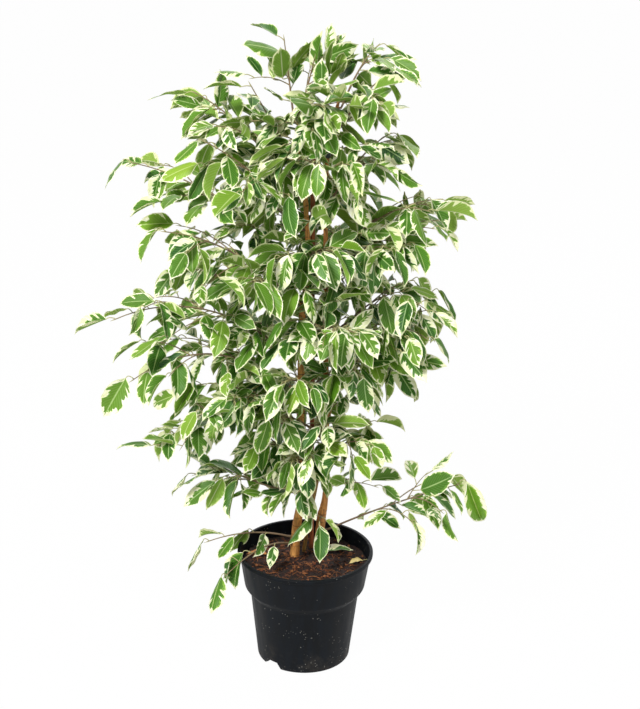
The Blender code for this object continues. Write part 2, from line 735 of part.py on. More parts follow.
def join_rings(bm, low, high):
    """Faces from one ring of three corners to the next."""
    for k in range(3):
        j = (k + 1) % 3
        bm.faces.new((low[k], low[j], high[j]))
        bm.faces.new((low[k], high[j], high[k]))


def grow_leaf(bm, base, leaf):
    """A petiole and a blade that grow from the small triangle base."""
    foot, widest, tip = leaf_sections(leaf)
    turned_foot = matched(foot, base)
    shift = foot.index(turned_foot[0])
    turned_widest = widest[shift:] + widest[:shift]
    low = base
    for ring in (turned_foot, turned_widest):
        high = [bm.verts.new(point) for point in ring]
        join_rings(bm, low, high)
        low = high
    end = bm.verts.new(tip)
    for k in range(3):
        bm.faces.new((low[k], low[(k + 1) % 3], end))


def side_facing(ring, centre, direction):
    """The side of a twig's ring that best faces a direction."""
    def facing(k):
        return ((ring[k].co + ring[(k + 1) % 3].co) / 2 - centre).dot(direction)
    return max(range(3), key=facing)


def grow_twig(bm, start, twig, growths):
    """A twig from the ring start, with what grows on it: (share, first point, growing function)."""
    stations = sorted(growths + [(FIRST_LEAF / 2, None, None)], key=lambda growth: growth[0])
    low = start
    final = None
    held = None
    for share, target, grow in stations + [(1.0, None, None)]:
        if grow is not None and share > END_LEAF:
            final = grow
            continue
        ring = twig_ring(twig, share)
        if low is start:
            ring = matched(ring, low)
        high = [bm.verts.new(point) for point in ring]
        if held is None:
            join_rings(bm, low, high)
        else:
            grow_from_side(bm, low, high, *held)
        held = None
        if grow is not None:
            held = (twig.course(share), target, grow)
        low = high
    if final is None:
        bm.faces.new(low)
    else:
        final(low)


def grow_from_side(bm, low, high, centre, target, grow):
    """Faces from ring to ring, less a small triangle beside the lower one, where grow carries on."""
    side = side_facing(low, centre, target - centre)
    j = (side + 1) % 3
    k = (side + 2) % 3
    edge = high[side].co - low[side].co
    bud = bm.verts.new(low[side].co + edge * min(BUD / edge.length, BUD_MOST))
    bm.faces.new((bud, low[j], high[j]))
    bm.faces.new((bud, high[j], high[side]))
    bm.faces.new((low[j], low[k], high[k]))
    bm.faces.new((low[j], high[k], high[j]))
    bm.faces.new((low[k], low[side], bud))
    bm.faces.new((low[k], bud, high[side]))
    bm.faces.new((low[k], high[side], high[k]))
    grow([low[side], low[j], bud])


def make_branch(plan, material):
    """The solid of one branch: collar, main twig, side twigs and leaves."""
    branch, start, normal, twig, leaves, forks = plan
    bm = bmesh.new()
    foot = []
    level = UP.cross(normal).normalized()
    for corner in range(3):
        angle = math.radians(90 + 120 * corner)
        spoke = level * math.cos(angle) + normal.cross(level) * math.sin(angle)
        foot.append(bm.verts.new(start + spoke * TWIG_RADIUS[0]))
    bm.faces.new(foot[::-1])
    first = [bm.verts.new(point) for point in matched(twig_ring(twig, 0.0), foot)]
    join_rings(bm, foot, first)

    def leaf_growth(leaf):
        return lambda base: grow_leaf(bm, base, leaf)

    def fork_growth(fork, fork_leaves):
        held = [(share, leaf.base, leaf_growth(leaf)) for share, leaf in fork_leaves]
        return lambda base: grow_twig(bm, base, fork, held)

    growths = [(share, leaf.base, leaf_growth(leaf)) for share, leaf in leaves]
    for share, fork, fork_leaves in forks:
        growths.append((share, fork.course(FORK_AIM), fork_growth(fork, fork_leaves)))
    grow_twig(bm, first, twig, growths)
    return add_object(f"branch_{branch.name}", bm, material)


def plan_crown(crowd, stems):
    """Every branch with the side twigs and leaves that pass clear of all the others."""
    trees = {name: BVHTree.FromPolygons(*shape_of(stem)) for name, stem in stems.items()}
    rooted = []
    for branch in BRANCHES + tuple(fill_branches()):
        start, normal, twig = plan_branch(branch, trees[branch.stem])
        shape = twig_envelope(twig, TWIG_FREE)
        hit = crowd.touches(*shape)
        if hit:
            raise ValueError(f"{branch.name} touches {hit}")
        crowd.add(*shape, branch.name)
        rooted.append((branch, start, normal, twig))
    forked = []
    for branch, start, normal, twig in rooted:
        forks = []
        for share, fork, stream in fork_twigs(branch, twig):
            shape = twig_envelope(fork, 0.0)
            beyond = twig_envelope(fork, FORK_FREE)
            if crowd.touches(*shape, skip=branch.name) or crowd.touches(*beyond, only=branch.name):
                continue
            crowd.add(*shape, branch.name)
            forks.append((share, fork, stream))
        forked.append((branch, start, normal, twig, forks))
    planned = []
    for branch, start, normal, twig, forks in forked:
        hung = leaves_on(twig, branch.leaves, FIRST_LEAF, branch.droop, f"{branch.name} leaves")
        leaves = clear_leaves(crowd, branch.name, hung)
        fork_plans = []
        for share, fork, stream in forks:
            hung = leaves_on(fork, FORK_LEAVES, FORK_FIRST_LEAF, branch.droop, stream)
            fork_plans.append((share, fork, clear_leaves(crowd, branch.name, hung)))
        planned.append((branch, start, normal, twig, leaves, fork_plans))
    return planned


def clear_leaves(crowd, name, leaves):
    """The leaves of a branch that touch nothing placed before them."""
    kept = []
    for share, leaf in leaves:
        shape = leaf_envelope(leaf, 0.0)
        beyond = leaf_envelope(leaf, PETIOLE_FREE)
        if crowd.touches(*shape, skip=name) or crowd.touches(*beyond, only=name):
            continue
        crowd.add(*shape, name)
        kept.append((share, leaf))
    return kept


# ---------------------------------------------------------------- the whole plant

def main():
    for old in list(bpy.data.objects):
        bpy.data.objects.remove(old)

    black_plastic = make_material("black_plastic", (0.020, 0.022, 0.025), 0.38)
    peat = make_material("peat", (0.045, 0.022, 0.013), 0.95)
    bark = make_material("bark", (0.42, 0.20, 0.075), 0.75)
    cane_bark = make_material("cane_bark", (0.25, 0.075, 0.04), 0.7)
    tie_plastic = make_material("tie_plastic", (0.10, 0.12, 0.14), 0.5)
    foliage = make_material("foliage", (0.13, 0.26, 0.07), 0.4)
    dry_leaf = make_material("dry_leaf", (0.42, 0.20, 0.07), 0.8)
    pale_leaf = make_material("pale_leaf", (0.62, 0.55, 0.28), 0.6)

    crowd = Crowd()
    crowd.add_object(make_pot(black_plastic))
    soil = make_soil(peat)
    crowd.add_object(soil)
    for (name, row), material in zip(FALLEN.items(), (dry_leaf, pale_leaf, foliage)):
        crowd.add_object(make_fallen_leaf(name, *row, material, soil))
    stems = {}
    for name, course in STEMS.items():
        stems[name] = make_tube(f"stem_{name}", course, STEM_SIDES, bark)
        crowd.add_object(stems[name])
    crowd.add_object(make_tube("support_cane", cane_course(), STEM_SIDES, cane_bark))
    crowd.add_object(make_tie("tie_low", TIE_LOW, TIE_LOW_WIDTH, "left", tie_plastic))
    crowd.add_object(make_tie("tie_high", TIE_HIGH, TIE_HIGH_WIDTH, "right", tie_plastic))
    plans = plan_crown(crowd, stems)
    for plan in plans:
        make_branch(plan, foliage)


main()
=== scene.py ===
"""Potted weeping fig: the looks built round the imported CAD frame.

Metres, +Z up, -Y the plant's front. Every leafy branch is one piece: twigs, petioles and blades.
"""

import math
import random
from collections import namedtuple

import bmesh
import bpy
import numpy as np
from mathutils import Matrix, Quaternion, Vector, noise
from mathutils.bvhtree import BVHTree


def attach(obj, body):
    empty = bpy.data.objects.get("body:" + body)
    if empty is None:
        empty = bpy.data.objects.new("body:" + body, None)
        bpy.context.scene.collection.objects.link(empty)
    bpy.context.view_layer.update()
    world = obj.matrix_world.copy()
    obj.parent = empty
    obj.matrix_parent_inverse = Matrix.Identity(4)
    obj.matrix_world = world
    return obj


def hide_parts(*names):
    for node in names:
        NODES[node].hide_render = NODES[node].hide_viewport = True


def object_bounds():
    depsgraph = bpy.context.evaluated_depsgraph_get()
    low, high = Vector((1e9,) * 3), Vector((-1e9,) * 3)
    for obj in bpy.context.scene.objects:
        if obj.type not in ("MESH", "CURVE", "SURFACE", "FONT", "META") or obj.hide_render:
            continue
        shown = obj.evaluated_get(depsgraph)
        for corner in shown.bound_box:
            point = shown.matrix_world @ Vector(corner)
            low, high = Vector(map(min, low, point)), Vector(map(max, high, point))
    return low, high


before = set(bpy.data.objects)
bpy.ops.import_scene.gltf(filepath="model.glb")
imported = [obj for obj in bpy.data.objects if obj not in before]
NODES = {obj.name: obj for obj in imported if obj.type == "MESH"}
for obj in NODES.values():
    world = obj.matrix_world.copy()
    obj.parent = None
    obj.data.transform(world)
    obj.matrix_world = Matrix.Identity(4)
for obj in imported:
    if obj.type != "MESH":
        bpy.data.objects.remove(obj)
cad_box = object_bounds()
UP = Vector((0, 0, 1))

# ---------------------------------------------------------------- growth, by the CAD's rules

GAP = 0.0003
SKIN_SEARCH = 0.03    # how far off a stem's middle its skin is looked for
COLLAR = 0.004
TWIG_RADIUS = (0.0017, 0.0007)
FORK_RADIUS = (0.0010, 0.0006)
SHOOT_RADIUS = (0.0009, 0.0005)
TWIG_BEND = 0.08
FIRST_LEAF = 0.26
FORK_FIRST_LEAF = 0.5
FORK_LEAVES = 3
FORK_SPAN = (0.30, 0.72)
FORK_SPLAY = (30, 55)
FORK_REACH = (0.45, 0.60)
FORK_MORE = 0.030
FORK_RISE = (-0.1, 0.5)
FORK_BOW = 0.1
PETIOLE = 0.013
PETIOLE_SPREAD = (0.8, 1.2)
PETIOLE_LIFT = (-5, 25)
LEAF_SPLAY = (35, 75)
LEAF_SWING = 12
LEAF_LENGTH = (0.043, 0.062)
DROOP_SPREAD = 20
LEAF_ROLL = (-25, 50, 22)
LEAF_SHAPE = 0.50
LEAF_SHAPE_SPREAD = (0.85, 1.15)
LEAF_WIDEST = 0.42

# Stems. Each stands at its place on the soil, in shares of the rim's radius, and climbs in
# stretches: how high a stretch climbs, how many degrees it leans to the right and to the back, and
# the stem's radius at its upper end.
Stretch = namedtuple("Stretch", "climb right back radius")
Stem = namedtuple("Stem", "place radius stretches")
STEM_PLANS = {
    "left": Stem((-0.16, 0.22), 0.0074, (
        Stretch(0.055, 3, -4, 0.0070),
        Stretch(0.055, 8, -4, 0.0066),
        Stretch(0.060, -4, -3, 0.0062),
        Stretch(0.240, 0, -2, 0.0048),
        Stretch(0.080, 5, 0, 0.0040),
        Stretch(0.225, -5, 1, 0.0021),
    )),
    "middle": Stem((-0.02, 0.35), 0.0031, (
        Stretch(0.110, 8, -5, 0.0029),
        Stretch(0.150, 8, -4, 0.0025),
        Stretch(0.100, 3, 1, 0.0022),
        Stretch(0.145, 1, 3, 0.0016),
    )),
    "right": Stem((0.20, 0.20), 0.0044, (
        Stretch(0.030, 1, -4, 0.0070),
        Stretch(0.030, 3, -4, 0.0072),
        Stretch(0.050, 7, -4, 0.0046),
        Stretch(0.240, -1, -2, 0.0039),
        Stretch(0.270, -1, -1, 0.0030),
        Stretch(0.070, 5, 0, 0.0025),
        Stretch(0.040, 15, -2, 0.0020),
    )),
}
STEM_STEPS = 3        # points in each stretch
ROOT_END = 0.120
SOIL_LEVEL = 0.155
RIM_RADIUS = 0.105
CANE = (((0.010, 0.050, 0.118), 0.0037), ((0.000, 0.008, 0.845), 0.0037))

Branch = namedtuple("Branch", "name stem height azimuth reach rise bow droop leaves forks")

# The crown. Seen from above it is an oval. Seen from the side its branches are longest half way up,
# and each climbs more steeply than the ones below it.
CROWN_LOW = 0.18      # heights between which branches leave the stems
CROWN_HIGH = 0.90
SPREAD_LEFT = 0.28    # length of the longest branches to each side
SPREAD_RIGHT = 0.18
SPREAD_DEPTH = 0.10
SHORTEST = 0.3        # length of the lowest and highest branches, as a share of the longest
STEEPEST = 75         # degrees over level that the highest branches climb

# Each branch: its stem, the height it leaves it at, its azimuth, how far its middle bows up, how
# its leaves droop, and how many leaves and side twigs it has. Vigour is its length against what
# its place in the crown gives it, and lift is how many degrees more steeply than that it climbs.
HABIT_FIELDS = "name stem height azimuth bow droop leaves forks vigour lift"
Habit = namedtuple("Habit", HABIT_FIELDS, defaults=(1.0, 0))
HABITS = (
    Habit("top_left", "left", 0.845, 150, 0.000, -28, 6, 1, 1.0, 15),
    Habit("top_centre", "left", 0.855, 40, 0.000, -28, 4, 0, 1.2, 5),
    Habit("top_right", "right", 0.870, 10, 0.010, 15, 7, 2, 1.4, -10),
    Habit("top_right_low", "right", 0.830, 340, 0.006, 25, 7, 1, 1.3, -10),
    Habit("right_high", "right", 0.735, 5, 0.012, 30, 7, 2, 0.9, 5),
    Habit("upper_left", "left", 0.785, 198, 0.000, 10, 7, 1, 0.8, 5),
    Habit("left_high", "left", 0.735, 180, 0.018, 18, 8, 2),
    Habit("left_high_front", "left", 0.690, 210, 0.015, 35, 8, 2, 1.0, 5),
    Habit("left_long", "left", 0.620, 178, 0.025, 28, 9, 3, 1.1, 5),
    Habit("left_mid", "left", 0.575, 200, 0.025, 35, 8, 3, 0.9, 10),
    Habit("left_back", "left", 0.545, 165, 0.025, 40, 8, 2, 0.7),
    Habit("left_far", "left", 0.490, 185, 0.045, 32, 9, 3),
    Habit("left_far_low", "left", 0.440, 198, 0.045, 50, 9, 3),
    Habit("left_low", "left", 0.375, 188, 0.035, 45, 8, 2, 0.9, -10),
    Habit("left_low_front", "left", 0.410, 220, 0.020, 55, 7, 2, 0.9, 5),
    Habit("left_base", "left", 0.265, 172, 0.000, 40, 5, 1, 0.8, 15),
    Habit("right_wide", "right", 0.650, 352, 0.020, 38, 8, 3, 1.1),
    Habit("right_wide_back", "right", 0.610, 18, 0.025, 42, 8, 2, 1.1),
    Habit("right_mid", "right", 0.530, 5, 0.020, 45, 8, 2, 0.9, 5),
    Habit("right_mid_low", "middle", 0.500, 345, 0.025, 55, 8, 2, 0.8),
    Habit("right_hang", "middle", 0.430, 15, 0.030, 50, 7, 2, 0.7),
    Habit("right_back", "middle", 0.350, 35, 0.012, 35, 5, 1, 0.4),
    Habit("right_stub", "right", 0.285, 345, 0.000, 10, 3, 0, 0.3, 20),
    Habit("right_low", "right", 0.205, 352, 0.012, 38, 9, 3, 3.3, 25),
    Habit("soil_front", "left", 0.180, 222, 0.020, 68, 5, 0, 2.0, -5),
    Habit("soil_left", "left", 0.190, 190, 0.012, 35, 5, 0, 1.4),
    Habit("front_foot", "right", 0.230, 262, 0.004, 50, 3, 0, 0.6, 10),
    Habit("front_low", "left", 0.320, 262, 0.008, 55, 6, 1, 0.8, 25),
    Habit("front_middle", "left", 0.430, 282, 0.012, 55, 7, 1, 0.9, 25),
    Habit("front_breast", "right", 0.520, 258, 0.012, 55, 7, 2, 0.8, 15),
    Habit("front_upper", "left", 0.625, 278, 0.012, 50, 7, 2, 1.1, 5),
    Habit("front_high", "right", 0.750, 262, 0.010, 50, 7, 2, 1.2, -10),
)
FILL_COUNT = 16
FILL_STEMS = ("left", "right", "left", "middle")
FILL_TOPS = {"left": 0.850, "middle": 0.630, "right": 0.850}
FILL_LOW = 0.280
FILL_FIRST = 185
GOLDEN_TURN = 137.508
# Degrees that a few of them turn aside, to pass a stem or another branch
FILL_TURNS = {4: -15, 5: -30, 7: 15, 9: 30, 12: 90, 13: 45, 14: 40}
FILL_REACH = (0.045, 0.125)
FILL_SWELL = 1.1      # brings the longest of them a little under half way up
FILL_RISE = (0.035, 0.075)
FILL_BOW = 0.014
FILL_DROOP = (30, 55)
FILL_LEAVES = 8
FILL_FORKS = 1

Leaf = namedtuple("Leaf", "foot base along side face length width")
Twig = namedtuple("Twig", "course azimuth radii")


def outward(azimuth):
    """The level direction at an azimuth in degrees."""
    return Vector((math.cos(math.radians(azimuth)), math.sin(math.radians(azimuth)), 0))


def between(span, share):
    """The value a share of the way from the low to the high end of a span."""
    return span[0] + (span[1] - span[0]) * share


def leaf_at(foot, azimuth, droop, length, chance):
    """A leaf whose petiole starts at foot and whose blade hangs droop degrees under level."""
    heading = outward(azimuth)
    lift = math.radians(chance.uniform(*PETIOLE_LIFT))
    petiole = heading * math.cos(lift) + UP * math.sin(lift)
    base = foot + petiole * PETIOLE * chance.uniform(*PETIOLE_SPREAD)
    down = math.radians(droop)
    along = heading * math.cos(down) - UP * math.sin(down)
    level = UP.cross(heading)
    lightward = 1 if level.y > 0 else -1
    turn = math.radians(chance.triangular(*LEAF_ROLL)) * lightward
    side = level * math.cos(turn) + along.cross(level) * math.sin(turn)
    width = length * LEAF_SHAPE * chance.uniform(*LEAF_SHAPE_SPREAD)
    return Leaf(foot, base, along, side, along.cross(side), length, width)


def leaf_on(twig, share, splay, droop, spread, lengths, chance):
    """A leaf at this share of a twig, turned off its line by splay degrees."""
    azimuth = twig.azimuth + splay + chance.uniform(-LEAF_SWING, LEAF_SWING)
    hang = droop + chance.uniform(-spread, spread)
    return leaf_at(twig.course(share), azimuth, hang, chance.uniform(*lengths), chance)


def twig_course(start, azimuth, reach, rise, bow, bend):
    """Points of a twig as a function of the share gone: out, up, bowed up and bent aside."""
    heading = outward(azimuth)
    aside = UP.cross(heading)

    def place(share):
        arc = 4 * share * (1 - share)
        return start + heading * reach * share + UP * (rise * share + bow * arc) + aside * bend * arc
    return place


def side_twig(start, azimuth, reach, climb, radii):
    """A short twig that rises by a share of its reach and bows up a little."""
    return Twig(twig_course(start, azimuth, reach, climb * reach, FORK_BOW * reach, 0), azimuth, radii)


def course_at(course, height):
    """Centre and radius of a stem at a height."""
    for (low, thick), (high, thin) in zip(course, course[1:]):
        if height <= high[2]:
            share = (height - low[2]) / (high[2] - low[2])
            return Vector(low).lerp(Vector(high), share), between((thick, thin), share)
    return Vector(course[-1][0]), course[-1][1]


def stem_course(plan):
    """A stem's centre line as (point, radius) pairs, its leans eased into one another."""
    x, y = plan.place[0] * RIM_RADIUS, plan.place[1] * RIM_RADIUS
    knots = [(Vector((x, y, SOIL_LEVEL)), plan.radius)]
    for stretch in plan.stretches:
        lean = Vector((math.tan(math.radians(stretch.right)), math.tan(math.radians(stretch.back)), 1))
        knots.append((knots[-1][0] + lean * stretch.climb, stretch.radius))
    centres = [centre for centre, _ in knots]
    ahead = centres[-1] * 2 - centres[-2]
    padded = [centres[0] - UP * plan.stretches[0].climb, *centres, ahead]
    course = [((x, y, ROOT_END), plan.radius)]
    for i, ((_, thick), (_, thin)) in enumerate(zip(knots, knots[1:])):
        before, low, high, after = padded[i:i + 4]
        leave = (high - before) / 2
        reach = (after - low) / 2
        for k in range(STEM_STEPS):
            t = k / STEM_STEPS
            place = low.lerp(high, t * t * (3 - 2 * t))
            place += leave * (t * (1 - t) ** 2) - reach * (t * t * (1 - t))
            place.z = between((low.z, high.z), t)
            course.append((tuple(place), between((thick, thin), t)))
    course.append((tuple(centres[-1]), knots[-1][1]))
    return tuple(course)


def grown(habit):
    """The branch that a habit gives, its reach and rise worked out from its place in the crown."""
    share = (habit.height - CROWN_LOW) / (CROWN_HIGH - CROWN_LOW)
    heading = outward(habit.azimuth)
    side = SPREAD_RIGHT if heading.x > 0 else SPREAD_LEFT
    longest = math.hypot(side * heading.x, SPREAD_DEPTH * heading.y)
    length = longest * (SHORTEST + (1 - SHORTEST) * math.sin(math.pi * share)) * habit.vigour
    climb = math.radians(STEEPEST * share ** 2 + habit.lift)
    bearing = (habit.name, habit.stem, habit.height, habit.azimuth)
    sweep = (length * math.cos(climb), length * math.sin(climb))
    return Branch(*bearing, *sweep, habit.bow, habit.droop, habit.leaves, habit.forks)


def fill_branches():
    """The branches between the chosen ones, in a spiral up the stems."""
    chance = random.Random("fill")
    for i in range(FILL_COUNT):
        stem = FILL_STEMS[i % len(FILL_STEMS)]
        share = (i + 0.5) / FILL_COUNT
        height = between((FILL_LOW, FILL_TOPS[stem]), share)
        azimuth = (FILL_FIRST + GOLDEN_TURN * i + FILL_TURNS.get(i + 1, 0)) % 360
        reach = between(FILL_REACH, math.sin(math.pi * min(share * FILL_SWELL, 1.0)))
        rise = chance.uniform(*FILL_RISE)
        droop = chance.uniform(*FILL_DROOP)
        bearing = (f"crown_{i + 1:02d}", stem, height, azimuth)
        yield Branch(*bearing, reach, rise, FILL_BOW, droop, FILL_LEAVES, FILL_FORKS)


STEMS = {name: stem_course(plan) for name, plan in STEM_PLANS.items()}
BRANCHES = (*map(grown, HABITS), *fill_branches())


def leaves_on(twig, count, first, droop, stream):
    """Alternate leaves along a twig, the last at its end: (share, leaf) pairs."""
    chance = random.Random(stream)
    hand = chance.choice((-1, 1))
    for i in range(count):
        share = first + (1 - first) * i / max(count - 1, 1)
        hand = -hand
        splay = 0 if i == count - 1 else hand * chance.uniform(*LEAF_SPLAY)
        yield share, leaf_on(twig, share, splay, droop, DROOP_SPREAD, LEAF_LENGTH, chance)


def plan_branch(branch, stem_tree):
    """The middle of a branch's stem where it springs, and its main twig from the stem's skin."""
    centre, _ = course_at(STEMS[branch.stem], branch.height)
    heading = outward(branch.azimuth)
    hit, normal, _, _ = stem_tree.ray_cast(centre + heading * SKIN_SEARCH, -heading)
    start = hit + normal * GAP + normal * COLLAR
    bend = random.Random(branch.name).uniform(-TWIG_BEND, TWIG_BEND) * branch.reach
    sweep = (branch.reach - COLLAR, branch.rise, branch.bow, bend)
    return centre, Twig(twig_course(start, branch.azimuth, *sweep), branch.azimuth, TWIG_RADIUS)


def fork_twigs(branch, twig):
    """Side twigs of a branch, each with the name of its stream of chance."""
    chance = random.Random(f"{branch.name} forks")
    hand = chance.choice((-1, 1))
    for i in range(branch.forks):
        share = between(FORK_SPAN, (i + 0.5) / branch.forks)
        hand = -hand
        azimuth = branch.azimuth + hand * chance.uniform(*FORK_SPLAY)
        reach = chance.uniform(*FORK_REACH) * (1 - share) * branch.reach + FORK_MORE
        fork = side_twig(twig.course(share), azimuth, reach, chance.uniform(*FORK_RISE), FORK_RADIUS)
        yield fork, f"{branch.name} fork {i}"


# ---------------------------------------------------------------- node materials

def colour(red, green, blue):
    """A linear colour from its display values, 0 to 255."""
    shares = (value / 255 for value in (red, green, blue))
    return tuple(s / 12.92 if s <= 0.04045 else ((s + 0.055) / 1.055) ** 2.4 for s in shares)


class Tree:
    """Short calls that make the nodes of a tree and fill their inputs."""

    def __init__(self, owner):
        owner.use_nodes = True
        self.nodes = owner.node_tree.nodes
        self.links = owner.node_tree.links

    def put(self, socket, value):
        """Links or sets an input. Three numbers given to a colour are its display values."""
        if isinstance(value, bpy.types.NodeSocket):
            self.links.new(value, socket)
        elif isinstance(value, tuple) and len(value) == 3 and len(socket.default_value) == 4:
            socket.default_value = (*colour(*value), 1)
        else:
            socket.default_value = value

    def make(self, kind, values, **settings):
        """The outputs of a new node, whose inputs are given by name or number."""
        node = self.nodes.new(f"ShaderNode{kind}")
        for name, setting in settings.items():
            setattr(node, name, setting)
        for key, value in values.items():
            self.put(node.inputs[key], value)
        return node.outputs

    def seen_white(self, plain, white):
        """What a camera, glossy or transmission ray sees as white and any other as plain."""
        path = self.make("LightPath", {})
        seen = path["Is Camera Ray"]
        for name in ("Is Glossy Ray", "Is Transmission Ray"):
            seen = self.make("Math", {0: seen, 1: path[name]}, operation="MAXIMUM")[0]
        return self.make("MixShader", {0: seen, 1: plain, 2: white})[0]


class Shading(Tree):
    """A Principled material whose patterns are built from short calls."""

    def __init__(self, name):
        self.material = bpy.data.materials.new(name)
        super().__init__(self.material)
        self.shader = self.nodes["Principled BSDF"]

    def math(self, operation, *values):
        return self.make("Math", dict(enumerate(values)), operation=operation)[0]

    def add(self, a, b):
        return self.math("ADD", a, b)

    def times(self, a, b):
        return self.math("MULTIPLY", a, b)

    def scaled(self, a, b, c):
        """a times b plus c."""
        return self.math("MULTIPLY_ADD", a, b, c)

    def vector(self, x, y, z):
        return self.make("CombineXYZ", {0: x, 1: y, 2: z})[0]

    def parts(self, vector):
        return tuple(self.make("SeparateXYZ", {0: vector}))

    def attribute(self, name):
        """The three parts of a mesh attribute."""
        return self.parts(self.make("Attribute", {}, attribute_name=name)["Vector"])

    def place(self):
        return self.make("TexCoord", {})["Object"]

    def noise(self, vector, scale=1.0, detail=2.0, roughness=0.5):
        values = {"Vector": vector, "Scale": scale, "Detail": detail, "Roughness": roughness}
        return self.make("TexNoise", values)["Fac"]

    def draw(self, seed, step, other=0.0):
        """A value of its own for each seed."""
        return self.noise(self.vector(self.times(seed, step), other, 0.0), detail=0.0)

    def spots(self, vector, scale, core, edge):
        """1 in the middle of scattered cells, falling to 0 between two distances from it."""
        distance = self.make("TexVoronoi", {"Vector": vector, "Scale": scale})["Distance"]
        return self.ease(distance, core, edge, 1.0, 0.0)

    def stretch(self, vector, x, y, z):
        return self.make("VectorMath", {0: vector, 1: (x, y, z)}, operation="MULTIPLY")[0]

    def ease(self, value, low, high, start=0.0, end=1.0):
        """start where value is under low, end where it is over high, and smooth between."""
        values = dict(enumerate((value, low, high, start, end)))
        return self.make("MapRange", values, interpolation_type="SMOOTHSTEP")[0]

    def mix(self, share, a, b):
        return self.make("Mix", {0: share, 6: a, 7: b}, data_type="RGBA")[2]

    def veins(self, along, aside):
        """0 on the slanting side veins, rising to 0.5 half way between two."""
        return self.math("PINGPONG", self.times(self.scaled(aside, -VEIN_SLANT, along), VEINS), 0.5)

    def done(self, base, rough, height, strength, distance):
        """The finished material, with its colour, roughness and bump."""
        bump = self.make("Bump", {"Height": height, "Strength": strength, "Distance": distance})[0]
        for name, value in (("Base Color", base), ("Roughness", rough), ("Normal", bump)):
            self.put(self.shader.inputs[name], value)
        return self.material


VEINS = 12.0
VEIN_SLANT = 0.30


def leaf_material(name, under):
    """Variegated blade: green centre, grey-green clouds and a jagged cream margin.

    Attribute place holds the share along, the share across (-1 to 1) and the leaf's own number;
    edge holds the distance from the margin in mm, how young the leaf is and how creamy.
    """
    m = Shading(name)
    along, across, seed = m.attribute("place")
    margin, young, cream = m.attribute("edge")
    aside = m.math("ABSOLUTE", across)
    hand = m.math("SIGN", across)
    slant = m.scaled(aside, -0.20, along)
    strip = m.scaled(hand, 3.3, m.times(seed, 47.0))
    broad = m.noise(m.vector(m.times(slant, 5.5), strip, m.times(seed, 13.0)), detail=1.0)
    fine = m.noise(m.vector(m.times(slant, 18.0), strip, m.times(aside, 1.6)), roughness=0.6)
    cloud = m.noise(m.vector(m.times(slant, 9.0), m.add(strip, 19.0), m.times(aside, 2.0)))
    patch = m.ease(m.scaled(cream, 0.22, broad), 0.60, 0.68)
    rim = m.scaled(fine, 4.6, m.ease(m.draw(seed, 173.0, hand), 0.3, 0.7, -1.45, -0.3))
    tip = m.ease(along, 0.84, 0.98, 0.0, 1.6)
    wide = m.add(rim, m.add(tip, m.times(patch, m.scaled(fine, 9.0, 2.0))))
    past = m.math("SUBTRACT", margin, m.math("MAXIMUM", wide, 0.4))
    creamy = m.ease(past, -0.22, 0.30, 1.0, 0.0)
    clouded = m.math("SUBTRACT", past, m.scaled(cloud, 16.0, -6.6))
    greyed = m.ease(clouded, -0.5, 0.7, 1.0, 0.0)
    shade = m.draw(seed, 91.0)

    if under:
        deep = m.mix(shade, (84, 130, 34), (120, 158, 56))
        fresh = (150, 180, 74)
        grey = (152, 184, 92)
        pale = m.mix(fine, (238, 240, 196), (220, 228, 164))
        rib = (196, 206, 156)
        gloss, rough = 0.15, 0.6
    else:
        deep = m.mix(m.ease(shade, 0.3, 0.7), (24, 74, 16), (68, 120, 28))
        fresh = m.mix(m.ease(shade, 0.35, 0.65), (84, 140, 18), (144, 178, 50))
        grey = m.mix(young, (98, 144, 58), (150, 190, 60))
        pale = m.mix(m.ease(cloud, 0.35, 0.65), (249, 248, 222), (235, 237, 186))
        rib = m.mix(young, (158, 190, 122), (190, 208, 120))
        gloss, rough = 0.3, 0.4
    vein = m.ease(m.veins(along, aside), 0.0, 0.10, 0.30, 0.0)
    green = m.mix(vein, m.mix(young, deep, fresh), rib)
    middle = m.ease(aside, 0.035, 0.075, 0.85, 0.0)
    body = m.mix(middle, m.mix(m.times(greyed, 0.85), green, grey), rib)
    m.put(m.shader.inputs["Specular IOR Level"], gloss)
    relief = m.add(m.times(vein, -1.0), m.scaled(middle, -1.2, fine))
    return m.done(m.mix(creamy, body, pale), m.scaled(fine, 0.16, rough), relief, 0.35, 0.0004)


def twig_material():
    """Grey-brown to purplish young wood, turning green towards petioles and tips."""
    m = Shading("twig_bark")
    along, _, seed = m.attribute("place")
    _, young, petiole = m.attribute("edge")
    grain = m.noise(m.stretch(m.place(), 900, 900, 260), detail=3.0)
    spots = m.spots(m.place(), 520.0, 0.10, 0.28)
    old = m.mix(grain, (92, 70, 54), (150, 122, 96))
    fresh = m.mix(grain, (128, 96, 78), (140, 140, 84))
    wood = m.mix(m.times(spots, 0.45), m.mix(young, old, fresh), (190, 170, 140))
    tint = m.noise(m.vector(m.times(seed, 37.0), along, 0.0), 3.0)
    stalk = m.mix(tint, (196, 200, 140), (150, 128, 88))
    return m.done(m.mix(petiole, wood, stalk), m.scaled(grain, 0.25, 0.5), grain, 0.5, 0.0003)


